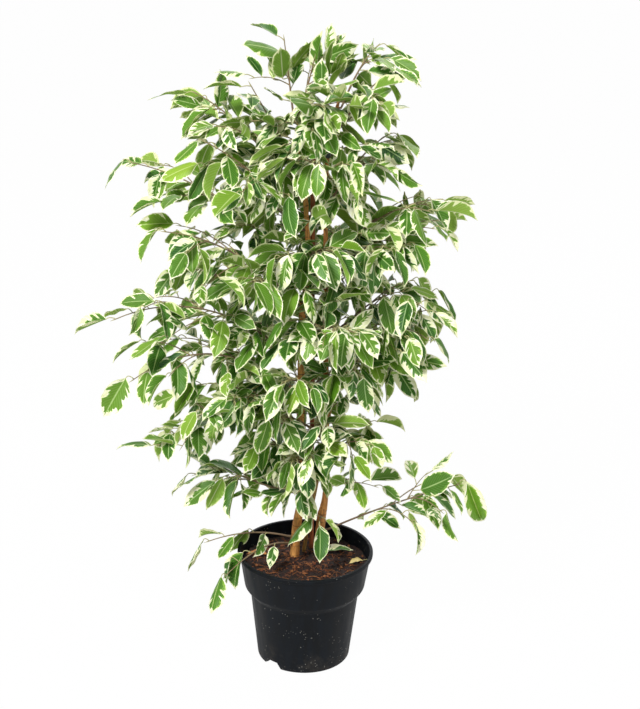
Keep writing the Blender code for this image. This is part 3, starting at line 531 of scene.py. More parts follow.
def bark_material(name, light, dark, ring):
    """Smooth bark with fine length cracks, dark node lines and pale pores.

    The attribute edge holds, as its first part, how near a node line is.
    """
    m = Shading(name)
    place = m.place()
    near, _, _ = m.attribute("edge")
    grain = m.noise(m.stretch(place, 420, 420, 60), detail=4.0, roughness=0.6)
    stain = m.noise(m.stretch(place, 60, 60, 26), detail=3.0)
    pores = m.spots(m.stretch(place, 1, 1, 0.6), 420.0, 0.12, 0.26)
    bark = m.mix(m.ease(stain, 0.35, 0.68), light, dark)
    bark = m.mix(m.ease(grain, 0.38, 0.72, 0.0, 0.65), bark, ring)
    bark = m.mix(m.times(pores, 0.35), bark, (214, 176, 128))
    line = m.times(m.ease(near, 0.35, 0.9), m.ease(grain, 0.25, 0.6, 0.5, 1.0))
    rough = m.scaled(grain, 0.3, 0.5)
    return m.done(m.mix(line, bark, ring), rough, m.scaled(line, -0.6, grain), 0.6, 0.0006)


def pot_material():
    """Near-black satin plastic with wiped streaks, specks and dried soil dust low down."""
    m = Shading("black_pot_plastic")
    place = m.place()
    _, _, height = m.parts(place)
    mottle = m.noise(place, 34.0, 5.0, 0.62)
    wipe = m.noise(m.stretch(place, 90, 90, 14), detail=3.0)
    low = m.ease(height, 0.0, 0.060, 1.0, 0.0)
    specks = m.spots(place, 230.0, 0.10, 0.22)
    rare = m.ease(m.scaled(low, 0.12, m.noise(place, 46.0, 1.0)), 0.54, 0.64)
    dust = m.ease(m.scaled(low, 0.12, mottle), 0.56, 0.80)
    dust = m.times(dust, m.ease(low, 0.0, 1.0, 0.08, 0.60))
    plastic = m.mix(m.ease(wipe, 0.35, 0.7), (4, 7, 11), (12, 17, 23))
    plastic = m.mix(dust, plastic, (66, 62, 58))
    base = m.mix(m.times(m.times(specks, rare), 0.7), plastic, (150, 148, 140))
    rough = m.add(m.ease(wipe, 0.3, 0.7, 0.48, 0.62), m.times(dust, 0.35))
    m.put(m.shader.inputs["Specular IOR Level"], 0.15)
    return m.done(base, rough, m.scaled(specks, 0.2, mottle), 0.12, 0.0006)


def soil_material():
    """Moist dark peat. The attribute edge holds how light a bit in it is, and its own number."""
    m = Shading("peat_fibre")
    place = m.place()
    light, own, _ = m.attribute("edge")
    crumb = m.noise(place, 260.0, 4.0, 0.65)
    damp = m.noise(place, 42.0, 3.0)
    peat = m.mix(m.ease(crumb, 0.32, 0.7), (6, 4, 3), (54, 24, 13))
    peat = m.mix(m.ease(damp, 0.35, 0.7, 0.0, 0.5), peat, (24, 13, 9))
    chips = m.mix(own, (96, 44, 22), (176, 112, 66))
    return m.done(m.mix(light, peat, chips), m.ease(damp, 0.3, 0.7, 0.78, 0.98), crumb, 0.8, 0.0012)


def cane_material():
    """Reddish-brown stained cane with long fibres."""
    m = Shading("stained_cane")
    fibre = m.noise(m.stretch(m.place(), 1400, 1400, 40), detail=3.0)
    stain = m.noise(m.place(), 60.0, 3.0)
    wood = m.mix(m.ease(fibre, 0.3, 0.7), (146, 74, 48), (196, 120, 80))
    wood = m.mix(m.ease(stain, 0.45, 0.75, 0.0, 0.6), wood, (70, 40, 32))
    return m.done(wood, m.scaled(fibre, 0.3, 0.4), fibre, 0.4, 0.0003)


def tie_material():
    """Weathered blue-grey plastic band with fine level ribs, and painted shade in the grooves between them.
    """
    m = Shading("tie_band_plastic")
    place = m.place()
    wear = m.noise(place, 300.0, 4.0, 0.6)
    ribs = m.math("PINGPONG", m.times(m.parts(place)[2], 900.0), 0.5)
    band = m.mix(wear, (62, 72, 80), (112, 122, 128))
    # painted shade: the band is darkened towards (48, 54, 60) along the low grooves of its rib bump
    band = m.mix(m.ease(ribs, 0.05, 0.3, 0.5, 0.0), band, (48, 54, 60))
    return m.done(band, m.scaled(wear, 0.3, 0.4), ribs, 0.5, 0.0003)


def shed_material(name, body, edge, vein):
    """A fallen leaf: mottled body, darker edge and raised veins."""
    m = Shading(name)
    along, across, _ = m.attribute("place")
    margin, _, _ = m.attribute("edge")
    aside = m.math("ABSOLUTE", across)
    blotch = m.noise(m.place(), 210.0, 4.0, 0.6)
    side_ribs = m.ease(m.veins(along, aside), 0.0, 0.16, 0.6, 0.0)
    rib = m.math("MAXIMUM", side_ribs, m.ease(aside, 0.04, 0.09, 1.0, 0.0))
    toned = m.mix(m.ease(m.scaled(blotch, 5.0, margin), 2.6, 5.0, 1.0, 0.0), body, edge)
    rough = m.scaled(blotch, 0.2, 0.62)
    return m.done(m.mix(m.times(rib, 0.7), toned, vein), rough, m.add(blotch, rib), 0.6, 0.0005)


# ---------------------------------------------------------------- meshes

def put_in_scene(name, data):
    """A new object of this data."""
    made = bpy.data.objects.new(name, data)
    bpy.context.scene.collection.objects.link(made)
    return made


def smooth_up_to(mesh, angle):
    """Shades a mesh smooth, but for edges sharper than an angle in degrees."""
    mesh.shade_smooth()
    mesh.set_sharp_from_angle(angle=math.radians(angle))


class Weave:
    """Points, faces and their attributes gathered into one mesh."""

    def __init__(self):
        self.points = []
        self.places = []
        self.edges = []
        self.faces = []
        self.slots = []
        self.corners = []
        self.count = 0

    def add(self, points, faces, slots, places, edges, corners):
        """Adds faces. places and edges are three values, each for all points or one a point;
        corners holds one (u, v) for each corner of each face, in the faces' order."""
        for rows, values in ((self.places, places), (self.edges, edges)):
            rows.append(np.stack([np.broadcast_to(value, len(points)) for value in values], 1))
        self.points.append(points)
        self.faces.extend([tuple(v + self.count for v in face) for face in faces])
        self.slots.append(np.broadcast_to(slots, len(faces)))
        self.corners.append(corners)
        self.count += len(points)

    def add_tube(self, tube, slot, box, edges, seed=0.0):
        """Adds a tube whose faces lie in a box of the bake sheet: low u, low v, width, height."""
        corners = []
        for face in tube.faces:
            wraps = max(tube.around[v] for v in face) - min(tube.around[v] for v in face) > 0.5
            for v in face:
                turn = tube.around[v] + (1 if wraps and tube.around[v] < 0.5 else 0)
                corners.append((box[0] + box[2] * tube.along[v], box[1] + box[3] * min(turn, 1.0)))
        places = (tube.along, tube.around, seed)
        self.add(tube.points, tube.faces, slot, places, edges, np.array(corners))

    def add_plain(self, points, faces, edges=(0, 0, 0)):
        """Adds faces whose place on the bake sheet is a plan view."""
        corners = np.array([points[v][:2] for face in faces for v in face]) * PLAN_SCALE + 0.5
        self.add(points, faces, 0, (0, 0, 0), edges, np.clip(corners, 0, 1))

    def build(self, name, materials, angle):
        mesh = bpy.data.meshes.new(name)
        mesh.from_pydata(np.concatenate(self.points).tolist(), [], self.faces)
        for label, rows in (("place", self.places), ("edge", self.edges)):
            layer = mesh.attributes.new(label, "FLOAT_VECTOR", "POINT")
            layer.data.foreach_set("vector", np.concatenate(rows).astype(np.float32).ravel())
        mesh.polygons.foreach_set("material_index", np.concatenate(self.slots).astype(np.int32))
        layer = mesh.uv_layers.new(name="OFBake")
        layer.data.foreach_set("uv", np.concatenate(self.corners).astype(np.float32).ravel())
        for material in materials:
            mesh.materials.append(material)
        smooth_up_to(mesh, angle)
        mesh.update()
        return put_in_scene(name, mesh)


PLAN_SCALE = 4.6      # bake sheet widths in a metre of the plan view
WHOLE_SHEET = (0.01, 0.01, 0.98, 0.98)

BLADE_ROWS = 15
BLADE_COLUMNS = 8
OUTLINE = (
    (0.00, 0.05), (0.04, 0.30), (0.10, 0.60), (0.18, 0.84), (0.28, 0.97), (0.40, 1.00), (0.52, 0.99),
    (0.63, 0.92), (0.73, 0.78), (0.81, 0.58), (0.87, 0.37), (0.92, 0.19), (0.96, 0.08), (1.00, 0.02),
)
BLADE_THICKNESS = 0.0004
RIB_DEPTH = 0.0005


def blade_template():
    """Rows and columns of a blade with an upper and an under side that meet at the margin."""
    width = BLADE_COLUMNS + 1
    tip = BLADE_ROWS * width
    shares = [(i / BLADE_ROWS, 2 * j / BLADE_COLUMNS - 1) for i in range(BLADE_ROWS) for j in range(width)]
    shares.append((1.0, 0.0))
    under = {}
    for spot in range(tip):
        under[spot] = spot
        if 0 < spot % width < BLADE_COLUMNS:
            under[spot] = len(shares)
            shares.append(shares[spot])
    faces = []
    for i in range(BLADE_ROWS):
        for low in range(i * width, i * width + BLADE_COLUMNS):
            if i < BLADE_ROWS - 1:
                upper = (low, low + width, low + width + 1, low + 1)
            else:
                upper = (low, tip, low + 1)
            faces += [upper, tuple(under.get(v, v) for v in (low, low + 1, *upper[-2:0:-1]))]
    slots = [0, 1] * (len(faces) // 2) + [1] * BLADE_COLUMNS
    for low in range(BLADE_COLUMNS):
        faces.append(tuple(dict.fromkeys((low, low + 1, under[low + 1], under[low]))))
    return np.array(shares), faces, np.array(slots), tip + 1


BLADE, BLADE_FACES, BLADE_SLOTS, UPPER_COUNT = blade_template()
BLADE_CORNERS = np.array([BLADE[v] for face in BLADE_FACES for v in face])
BLADE_CORNER_SLOTS = np.array([slot for face, slot in zip(BLADE_FACES, BLADE_SLOTS) for _ in face])
OUTLINE_T, OUTLINE_W = np.array(OUTLINE).T

# How blades vary: lowest, highest and, where it isn't even, commonest value
STYLE_SPANS = {
    "arch": (0.01, 0.075), "fold": (0.04, 0.95, 0.28), "curl": (-0.2, 0.7), "twist": (-0.7, 0.7),
    "sway": (-0.10, 0.10), "wave": (0.0003, 0.0013), "beat": (1.4, 3.0), "phase": (0, 6.28),
    "hook": (-0.02, 0.07), "cream": (-0.5, 1.1, 0.1), "seed": (0, 1),
}
Style = namedtuple("Style", [*STYLE_SPANS, "young"])


def leaf_style(chance, young):
    """The way one blade bends, and its colouring."""
    draws = {
        name: (chance.uniform if len(span) == 2 else chance.triangular)(*span)
        for name, span in STYLE_SPANS.items()
    }
    return Style(young=young, **draws)


HOOK_FROM = 0.8       # shares along the blade where its tip starts to hook and its twist is none
TWIST_FROM = 0.3


def blade_points(leaf, style):
    """The blade's points in space, and each point's distance from the margin in mm."""
    t, s = BLADE.T
    half = leaf.width / 2 * np.interp(t, OUTLINE_T, OUTLINE_W)
    across = s * half
    hook = style.hook * np.clip((t - HOOK_FROM) / (1 - HOOK_FROM), 0, 1) ** 2
    lift = leaf.length * (4 * style.arch * t * (1 - t) - hook)
    wave = style.wave * np.sin(style.beat * 2 * math.pi * t + style.phase * np.sign(s)) * s * s
    wave *= np.sin(math.pi * np.clip(t, 0, 1))
    raised = math.tan(style.fold) * np.abs(across) - style.curl * across ** 2 / (leaf.width / 2) + wave
    across = across * math.cos(style.fold) + style.sway * leaf.length * t * t
    turn = style.twist * (t - TWIST_FROM)
    x = across * np.cos(turn) - raised * np.sin(turn)
    z = lift + across * np.sin(turn) + raised * np.cos(turn)
    under = np.arange(len(BLADE)) >= UPPER_COUNT
    z = z - under * (BLADE_THICKNESS + RIB_DEPTH * (np.abs(s) < 0.01) * (1 - t))
    axes = np.array((leaf.side, leaf.along, leaf.face))
    return np.array(leaf.base) + np.stack((x, leaf.length * t, z), 1) @ axes, (1 - np.abs(s)) * half * 1000


Tube = namedtuple("Tube", "points faces along around")
CAP_RISE = 0.3        # height of a tube's end points, as a share of its radius
STEEP = 0.8           # rise of a first step above which its frame is guided by X, not Z


def tube(centres, radii, sides):
    """A tube round centres, closed with a point at each end, and its points' shares along and
    around it. Radii has one radius for each ring, or one row of them."""
    centres = np.array(centres, float)
    radii = np.array(radii, float)
    if radii.ndim == 1:
        radii = np.repeat(radii[:, None], sides, 1)
    step = np.gradient(centres, axis=0)
    step /= np.linalg.norm(step, axis=1)[:, None]
    side = np.cross((0.0, 0.0, 1.0) if abs(step[0][2]) < STEEP else (1.0, 0.0, 0.0), step[0])
    points = []
    for centre, direction, ring in zip(centres, step, radii):
        side = side - direction * side.dot(direction)
        side /= np.linalg.norm(side)
        other = np.cross(direction, side)
        for k in range(sides):
            angle = 2 * math.pi * k / sides
            points.append(centre + (side * math.cos(angle) + other * math.sin(angle)) * ring[k])
    points.append(centres[0] - step[0] * radii[0].mean() * CAP_RISE)
    points.append(centres[-1] + step[-1] * radii[-1].mean() * CAP_RISE)
    count = len(centres)
    along = np.append(np.repeat(np.linspace(0, 1, count), sides), (0, 1))
    around = np.append(np.tile(np.arange(sides) / sides, count), (0, 0))
    last = (count - 1) * sides
    nexts = [(k, (k + 1) % sides) for k in range(sides)]
    faces = [(i + k, i + j, i + sides + j, i + sides + k) for i in range(0, last, sides) for k, j in nexts]
    for k, j in nexts:
        faces += [(last + sides, j, k), (last + sides + 1, last + k, last + j)]
    return Tube(np.array(points), faces, along, around)


Foliage = namedtuple("Foliage", "name twigs leaves")

TWIG_SIDES = 7
PETIOLE_SIDES = 5
PETIOLE_STEPS = 5
PETIOLE_RADIUS = (0.0008, 0.0006)
WOOD_SHARE = 0.2      # share of a piece's bake sheet that its twigs and petioles take
PETIOLE_SHARE = 0.06  # and the part of it for the petioles
PETIOLE_ROW = (0.002, 0.05)   # low edge and height of the petioles' row on the sheet
PETIOLE_FILL = 0.9    # share of its stretch of that row that each petiole takes
TWIG_FILL = 0.85      # and of its row that each twig takes
TWIG_MARGIN = 0.01    # left free round the twigs
BLADE_SPAN = (0.94, 0.92)     # length and width of a blade in its cell of the sheet


def grow(plan, materials):
    """The mesh of one leafy branch."""
    weave = Weave()
    count = max(len(plan.leaves), 1)
    columns = math.ceil(math.sqrt(4 * count / (1 - WOOD_SHARE)))
    cell = 1 / columns
    tall = (1 - WOOD_SHARE) / math.ceil(2 * count / columns)
    for number, (leaf, style) in enumerate(plan.leaves):
        points, margin = blade_points(leaf, style)
        corners = np.empty((len(BLADE_CORNERS), 2))
        for slot in (0, 1):
            row, column = divmod(2 * number + slot, columns)
            own = BLADE_CORNER_SLOTS == slot
            t, s = BLADE_CORNERS[own].T
            corners[own, 0] = column * cell + cell * (0.5 + s * BLADE_SPAN[1] / 2)
            corners[own, 1] = WOOD_SHARE + row * tall + tall * (0.5 + (t - 0.5) * BLADE_SPAN[0])
        places = (*BLADE.T, style.seed)
        weave.add(points, BLADE_FACES, BLADE_SLOTS, places, (margin, style.young, style.cream), corners)
        low, height = PETIOLE_ROW
        add_petiole(weave, leaf, style, (number / count, low, PETIOLE_FILL / count, height))
    height = (WOOD_SHARE - PETIOLE_SHARE - TWIG_MARGIN) / max(len(plan.twigs), 1)
    for number, (course, radii, young) in enumerate(plan.twigs):
        low = PETIOLE_SHARE + number * height
        box = (TWIG_MARGIN, low, 1 - 2 * TWIG_MARGIN, height * TWIG_FILL)
        add_twig(weave, course, radii, young, box)
    return weave.build(plan.name, materials, 70)


KNEE_BACK = 0.10      # how far before the blade's base the stalk's curve aims, in blade lengths
KNEE_RISE = 0.0015    # and how far over it, in metres
STALK_OVERLAP = 0.06  # how far the stalk runs on under the blade, in blade lengths


def add_petiole(weave, leaf, style, box):
    """The stalk from the twig to the blade, curving into the midrib's line."""
    foot, base, along = np.array(leaf.foot), np.array(leaf.base), np.array(leaf.along)
    knee = base - along * leaf.length * KNEE_BACK + np.array(UP) * KNEE_RISE
    shares = np.linspace(0, 1, PETIOLE_STEPS + 1)[:, None]
    path = foot * (1 - shares) ** 2 + knee * 2 * shares * (1 - shares) + base * shares ** 2
    end = base + along * leaf.length * STALK_OVERLAP - np.array(leaf.face) * BLADE_THICKNESS
    stalk = tube([*path, end], np.linspace(*PETIOLE_RADIUS, PETIOLE_STEPS + 2), PETIOLE_SIDES)
    weave.add_tube(stalk, 2, box, (0, 1, 1), style.seed)


TWIG_RINGS = 22
TWIG_NODES = 9        # slight swellings along it
TWIG_SWELL = 0.12     # how much thicker it is at them, as a share of its radius
BUD_FROM = 0.93       # share along it where the bud's colour starts, and over how much it comes in
BUD_FADE = 0.05
BUD = ((0.003, 1.15), (0.009, 0.2))   # how far past the end, and radius in shares of the end's


def add_twig(weave, course, radii, young, box):
    """A twig with small swellings at its nodes and a pointed bud at its end."""
    shares = np.linspace(0, 1, TWIG_RINGS)
    path = [np.array(course(share)) for share in shares]
    end = (path[-1] - path[-2]) / np.linalg.norm(path[-1] - path[-2])
    swell = TWIG_SWELL * np.cos(shares * 2 * math.pi * TWIG_NODES) ** 8
    thick = between(radii, shares) * (1 + swell)
    path += [path[-1] + end * past for past, _ in BUD]
    wood = tube(path, [*thick, *(radii[1] * share for _, share in BUD)], TWIG_SIDES)
    age = np.clip(young + (1 - young) * wood.along ** 3, 0, 1)
    bud = np.clip((wood.along - BUD_FROM) / BUD_FADE, 0, 1)
    weave.add_tube(wood, 2, box, (0, age, bud))


# ---------------------------------------------------------------- the crown

ROOM = 0.006          # how far blades may reach out of the CAD model's box
POT_CLEAR = (0.115, 0.165)    # within this radius no tip hangs lower than this height
TRIES = 7
HULL_FACES = [(0, 2, 1), (0, 3, 2), (0, 4, 3), (0, 1, 4), (5, 1, 2), (5, 2, 3), (5, 3, 4), (5, 4, 1)]
HULL_LENGTH = 0.96    # of the hull that stands for a blade, as a share of the blade's
HULL_WIDTH = 0.92
HULL_RISE = 0.0012    # half its thickness, in metres


class Crowd:
    """The blades placed so far, which tells whether a new one would cut through them."""

    def __init__(self):
        self.shapes = []

    def fits(self, leaf):
        """Whether a blade keeps to the model's box, off the pot and off the others' hulls; if it
        does, it is taken in."""
        tip = leaf.base + leaf.along * leaf.length
        if any(not cad_box[0][i] - ROOM <= tip[i] <= cad_box[1][i] + ROOM for i in range(3)):
            return False
        if tip.z < POT_CLEAR[1] and math.hypot(tip.x, tip.y) < POT_CLEAR[0]:
            return False
        middle = leaf.base + leaf.along * leaf.length * LEAF_WIDEST
        rise = leaf.face * HULL_RISE
        half = leaf.side * leaf.width / 2 * HULL_WIDTH
        end = leaf.base + leaf.along * leaf.length * HULL_LENGTH
        points = [leaf.base, middle + half, middle + rise, middle - half, middle - rise, end]
        low, high = ([pick(p[i] for p in points) for i in range(3)] for pick in (min, max))
        tree = BVHTree.FromPolygons(points, HULL_FACES)
        for other_low, other_high, other in self.shapes:
            if any(low[i] > other_high[i] or high[i] < other_low[i] for i in range(3)):
                continue
            if other.overlap(tree):
                return False
        self.shapes.append((low, high, tree))
        return True


LOOSE_ROLL = (-12, 36)    # mean and spread of the degrees that the model's blades are turned by
LOOSE_PITCH = 20
LOOSE_YAW = 24
FILL_ROLL = (-72, 42)     # lowest and highest turn of the blades between them
FILL_SPREAD = 55
FILL_RAISED = 22
FILL_LENGTH = (0.036, 0.064)
RETRY_SPREAD = 35         # of a blade of the model's for which there was no room
RETRY_SPLAY = 80

# How young leaves and wood are, from 0 to 1. A branch's own leaves get younger towards its end.
YOUTH = 0.10
YOUTH_RISE = 0.35
YOUTH_SPREAD = 0.20
FILL_YOUTH_RISE = 0.25
FILL_YOUTH_SPREAD = 0.18
MAIN_WOOD = 0.15
FORK_WOOD = 0.45
# Of shoots and sprigs: where their first leaf stands, and how young their leaves and wood are
SHOOT_AGES = (0.3, 0.15, 0.7)
SPRIG_AGES = (0.25, 0.10, 0.6)


def turned_leaf(leaf, roll, pitch=0, yaw=0):
    """The leaf tipped about its width, swung about the upright and rolled towards the front."""
    toward = 1 if leaf.side.y > 0 else -1
    turn = Quaternion(UP, math.radians(yaw)) @ Quaternion(leaf.side, math.radians(pitch))
    turn = turn @ Quaternion(leaf.along, math.radians(toward * roll))
    return leaf._replace(along=turn @ leaf.along, side=turn @ leaf.side, face=turn @ leaf.face)


def varied(twig, share, splay, droop, spread, chance):
    """A leaf tried at this place of a twig."""
    leaf = leaf_on(twig, share, splay, droop, spread, FILL_LENGTH, chance)
    return turned_leaf(leaf, chance.uniform(*FILL_ROLL))


def youth(chance, mean, spread):
    """How young a leaf is, from 0 to 1."""
    return min(max(chance.gauss(mean, spread), 0), 1)


# Branches that carry no shoots between their leaves, because the photo is open there
OPEN_BRANCHES = (
    "right_low", "right_back", "right_stub", "crown_02", "crown_12", "soil_front", "soil_left",
    "top_left", "top_right", "front_foot", "right_mid", "left_back",
)
# Shoots on the outer half of a branch: how many, and their rise as a share of their reach
OUTER_SHOOTS = {
    "left_low": (4, -0.9), "left_base": (3, 0.1), "left_high": (4, -0.5), "right_low": (1, 1.2),
    "right_hang": (1, 0.2), "top_centre": (3, 0.5), "top_left": (1, 0.2),
}
OUTER_SPAN = (0.35, 0.85)
OUTER_SPLAY = (15, 60)
OUTER_PLAY = 0.2      # how far their rise strays from that, either way
# How many times larger the leaf at the end of a branch is
BIG_ENDS = {"right_low": 1.4, "left_far_low": 1.2, "right_hang": 1.25, "soil_left": 1.2}
SHOOT_SPACING = 0.042     # of branch for each shoot
SHOOT_SPAN = (0.06, 0.52)
SHOOT_SPLAY = (25, 85)
SHOOT_CLIMB = (-0.2, 0.6)
SHOOT_REACH = (0.022, 0.060)
SHOOT_LEAVES = (3, 5)
SPRIGS = 52
SPRIG_SPAN = (0.260, 0.900)
SPRIG_END = 0.010         # length of a stem's end that carries none
SPRIG_FIRST = 250
SPRIG_BACK = 0.4          # of those that point further back than this, half go to the front
SPRIG_REACH = (0.025, 0.085)
SPRIG_CLIMB = (0.1, 0.7)
SPRIG_LEAVES = (4, 6)
SPRIG_DROOP = 48
DOZEN_OFF = 0.02          # metres that a branch counts as further off for each dozen of leaves


def shoots_on(branch, twig, source, count, span, splay, climb, turn):
    """Short leafy shoots on a stretch of a branch, to its two sides in turn: (twig, number of
    leaves, number) rows."""
    chance = random.Random(f"{branch.name} {source}")
    for i in range(count):
        share = between(span, (i + chance.random()) / count)
        azimuth = branch.azimuth + (-1) ** (i + turn) * chance.uniform(*splay)
        reach = chance.uniform(*SHOOT_REACH)
        shoot = side_twig(twig.course(share), azimuth, reach, chance.uniform(*climb), SHOOT_RADIUS)
        yield shoot, chance.randint(*SHOOT_LEAVES), i


def shoots_of(branch, twig):
    """All the shoots of a branch: (twig, number of leaves, stream) rows."""
    if branch.name not in OPEN_BRANCHES:
        habit = (SHOOT_SPAN, SHOOT_SPLAY, SHOOT_CLIMB, branch.leaves + 1)
        count = int(branch.reach / SHOOT_SPACING) + 1
        for shoot, leaves, i in shoots_on(branch, twig, "shoots", count, *habit):
            yield shoot, leaves, f"{branch.name} shoot {i}"
    count, climb = OUTER_SHOOTS.get(branch.name, (0, 0))
    habit = (OUTER_SPAN, OUTER_SPLAY, (climb - OUTER_PLAY, climb + OUTER_PLAY), 0)
    for shoot, leaves, i in shoots_on(branch, twig, "outer", count, *habit):
        yield shoot, leaves, f"{branch.name} outer {i}"


def sprigs():
    """Short leafy shoots that spring from the stems themselves, most of them to the front."""
    chance = random.Random("sprigs")
    for i in range(SPRIGS):
        height = between(SPRIG_SPAN, (i + chance.random()) / SPRIGS)
        stem = ("left", "right", "middle")[i % 3]
        if height > STEMS[stem][-1][0][2]:
            stem = "left" if i % 2 else "right"
        height = min(height, STEMS[stem][-1][0][2] - SPRIG_END)
        azimuth = (GOLDEN_TURN * i + SPRIG_FIRST) % 360
        if outward(azimuth).y > SPRIG_BACK and i % 2:
            azimuth = -azimuth
        reach = chance.uniform(*SPRIG_REACH)
        centre, _ = course_at(STEMS[stem], height)
        shoot = side_twig(centre, azimuth, reach, chance.uniform(*SPRIG_CLIMB), SHOOT_RADIUS)
        yield height, shoot, chance.randint(*SPRIG_LEAVES), f"sprig {i}"


def fill_twig(plan, twig, count, droop, stream, crowd, first, young, wood):
    """Puts leaves on a shoot where there is room, and the shoot on the plan if it has any."""
    chance = random.Random(stream)
    hand = chance.choice((-1, 1))
    before = len(plan.leaves)
    for i in range(count):
        share = first + (1 - first) * i / max(count - 1, 1)
        hand = -hand
        for _ in range(TRIES):
            splay = 0 if i == count - 1 else hand * chance.uniform(*LEAF_SPLAY)
            leaf = varied(twig, share, splay, droop - FILL_RAISED, FILL_SPREAD, chance)
            if crowd.fits(leaf):
                age = youth(chance, young + FILL_YOUTH_RISE * share, FILL_YOUTH_SPREAD)
                plan.leaves.append((leaf, leaf_style(chance, age)))
                break
    if len(plan.leaves) > before:
        plan.twigs.append((twig.course, twig.radii, wood))


HEEL = 0.05           # share of a main twig's course that lies inside the stem


def from_heart(centre, course):
    """The course of a twig led out from the middle of its stem."""
    heel = course(0.0)

    def place(share):
        return centre.lerp(heel, share / HEEL) if share < HEEL else course((share - HEEL) / (1 - HEEL))
    return place


def own_leaves(branch, twig, plan, crowd):
    """Puts on a branch the leaves that the CAD model gives it. Yields those with no room."""
    chance = random.Random(f"{branch.name} looks")
    groups = [(twig, branch.leaves, FIRST_LEAF, f"{branch.name} leaves")]
    for fork, stream in fork_twigs(branch, twig):
        plan.twigs.append((fork.course, fork.radii, FORK_WOOD))
        groups.append((fork, FORK_LEAVES, FORK_FIRST_LEAF, stream))
    for holder, count, first, stream in groups:
        for share, leaf in leaves_on(holder, count, first, branch.droop, stream):
            style = leaf_style(chance, youth(chance, YOUTH + YOUTH_RISE * share ** 3, YOUTH_SPREAD))
            if share == 1 and holder is twig:
                more = BIG_ENDS.get(branch.name, 1)
                leaf = leaf._replace(length=leaf.length * more, width=leaf.width * more)
            turns = (chance.gauss(*LOOSE_ROLL), chance.gauss(0, LOOSE_PITCH), chance.gauss(0, LOOSE_YAW))
            for tried in (turned_leaf(leaf, *turns), leaf):
                if crowd.fits(tried):
                    plan.leaves.append((tried, style))
                    break
            else:
                yield branch, holder, share, plan, style


def plan_crown():
    """Twigs and leaves of every branch: those of the CAD model first, then what fills it out."""
    trees = {}
    for name in STEMS:
        mesh = NODES[f"stem_{name}"].data
        faces = [tuple(p.vertices) for p in mesh.polygons]
        trees[name] = BVHTree.FromPolygons([v.co for v in mesh.vertices], faces)
    crowd = Crowd()
    rooted = []
    for branch in BRANCHES:
        centre, twig = plan_branch(branch, trees[branch.stem])
        heart = (from_heart(centre, twig.course), twig.radii, MAIN_WOOD)
        rooted.append((branch, twig, Foliage(f"leafy_{branch.name}", [heart], [])))
    dropped = [row for branch, twig, plan in rooted for row in own_leaves(branch, twig, plan, crowd)]
    for branch, holder, share, plan, style in dropped:
        chance = random.Random(f"{branch.name} again {share}")
        for _ in range(TRIES):
            splay = chance.uniform(-RETRY_SPLAY, RETRY_SPLAY)
            leaf = varied(holder, share, splay, branch.droop, RETRY_SPREAD, chance)
            if crowd.fits(leaf):
                plan.leaves.append((leaf, style))
                break
    for branch, twig, plan in rooted:
        for shoot, count, stream in shoots_of(branch, twig):
            fill_twig(plan, shoot, count, branch.droop, stream, crowd, *SHOOT_AGES)
    for height, shoot, count, stream in sprigs():
        offs = [abs(b.height - height) + DOZEN_OFF * (len(plan.leaves) // 12) for b, _, plan in rooted]
        plan = rooted[offs.index(min(offs))][2]
        fill_twig(plan, shoot, count, SPRIG_DROOP, stream, crowd, *SPRIG_AGES)
    return {branch.name: plan for branch, _, plan in rooted}


# ---------------------------------------------------------------- pot

POT_SIDES = 144
POT_HEIGHT = 0.178
LIP_REACH = 0.0035
LIP_HEIGHT = 0.006
LIP_DEPTH = 0.003     # of the lip's inner edge under the rim
BAND_LOW = 0.121
BAND_RADIUS = 0.0935
NECK_HIGH = 0.111
NECK_RADIUS = 0.0845
BASE_RADIUS = 0.072
FOOT_WIDTH = 0.0075   # of the ring that the pot stands on
FOOT_STEP = 0.0005
FOOT_HEIGHT = 0.0012
HEEL_HEIGHT = 0.012
WALL = 0.0015
FLOOR = 0.002
BEND_STEPS = 4
POT_EDGE = 34         # degrees
NOTCHES = 2
NOTCH_TURN = 228.5
NOTCH_HALVES = (13.5, 8.0)    # half the opening in degrees, at the foot and at its top
NOTCH_HEIGHT = 0.011
NOTCH_INNER = 0.052
NOTCH_STEPS = 8
SLOPE = (NECK_RADIUS - BASE_RADIUS) / NECK_HIGH
BAND_TOP = (RIM_RADIUS - LIP_REACH, POT_HEIGHT - LIP_HEIGHT)


def rounded(profile, bends):
    """The profile with each corner listed in bends (index: cut) replaced by a curve."""
    made = []
    for i, point in enumerate(profile):
        if i not in bends:
            made.append(point)
            continue
        here = np.array(point)
        before = np.array(profile[i - 1]) - here
        after = np.array(profile[i + 1]) - here
        start = here + before / np.linalg.norm(before) * bends[i]
        end = here + after / np.linalg.norm(after) * bends[i]
        for k in range(BEND_STEPS + 1):
            share = k / BEND_STEPS
            made.append(tuple(start * (1 - share) ** 2 + here * 2 * share * (1 - share) + end * share ** 2))
    return made


def join_rings(bm, low, high):
    """Faces between two rings of points."""
    for i in range(len(low)):
        j = (i + 1) % len(low)
        bm.faces.new((low[i], high[i], high[j], low[j]))


def add_solid(name, bm, material, angle):
    """An object made of a bmesh, smooth shaded up to an angle."""
    bmesh.ops.recalc_face_normals(bm, faces=bm.faces)
    mesh = bpy.data.meshes.new(name)
    bm.to_mesh(mesh)
    bm.free()
    smooth_up_to(mesh, angle)
    mesh.materials.append(material)
    return put_in_scene(name, mesh)


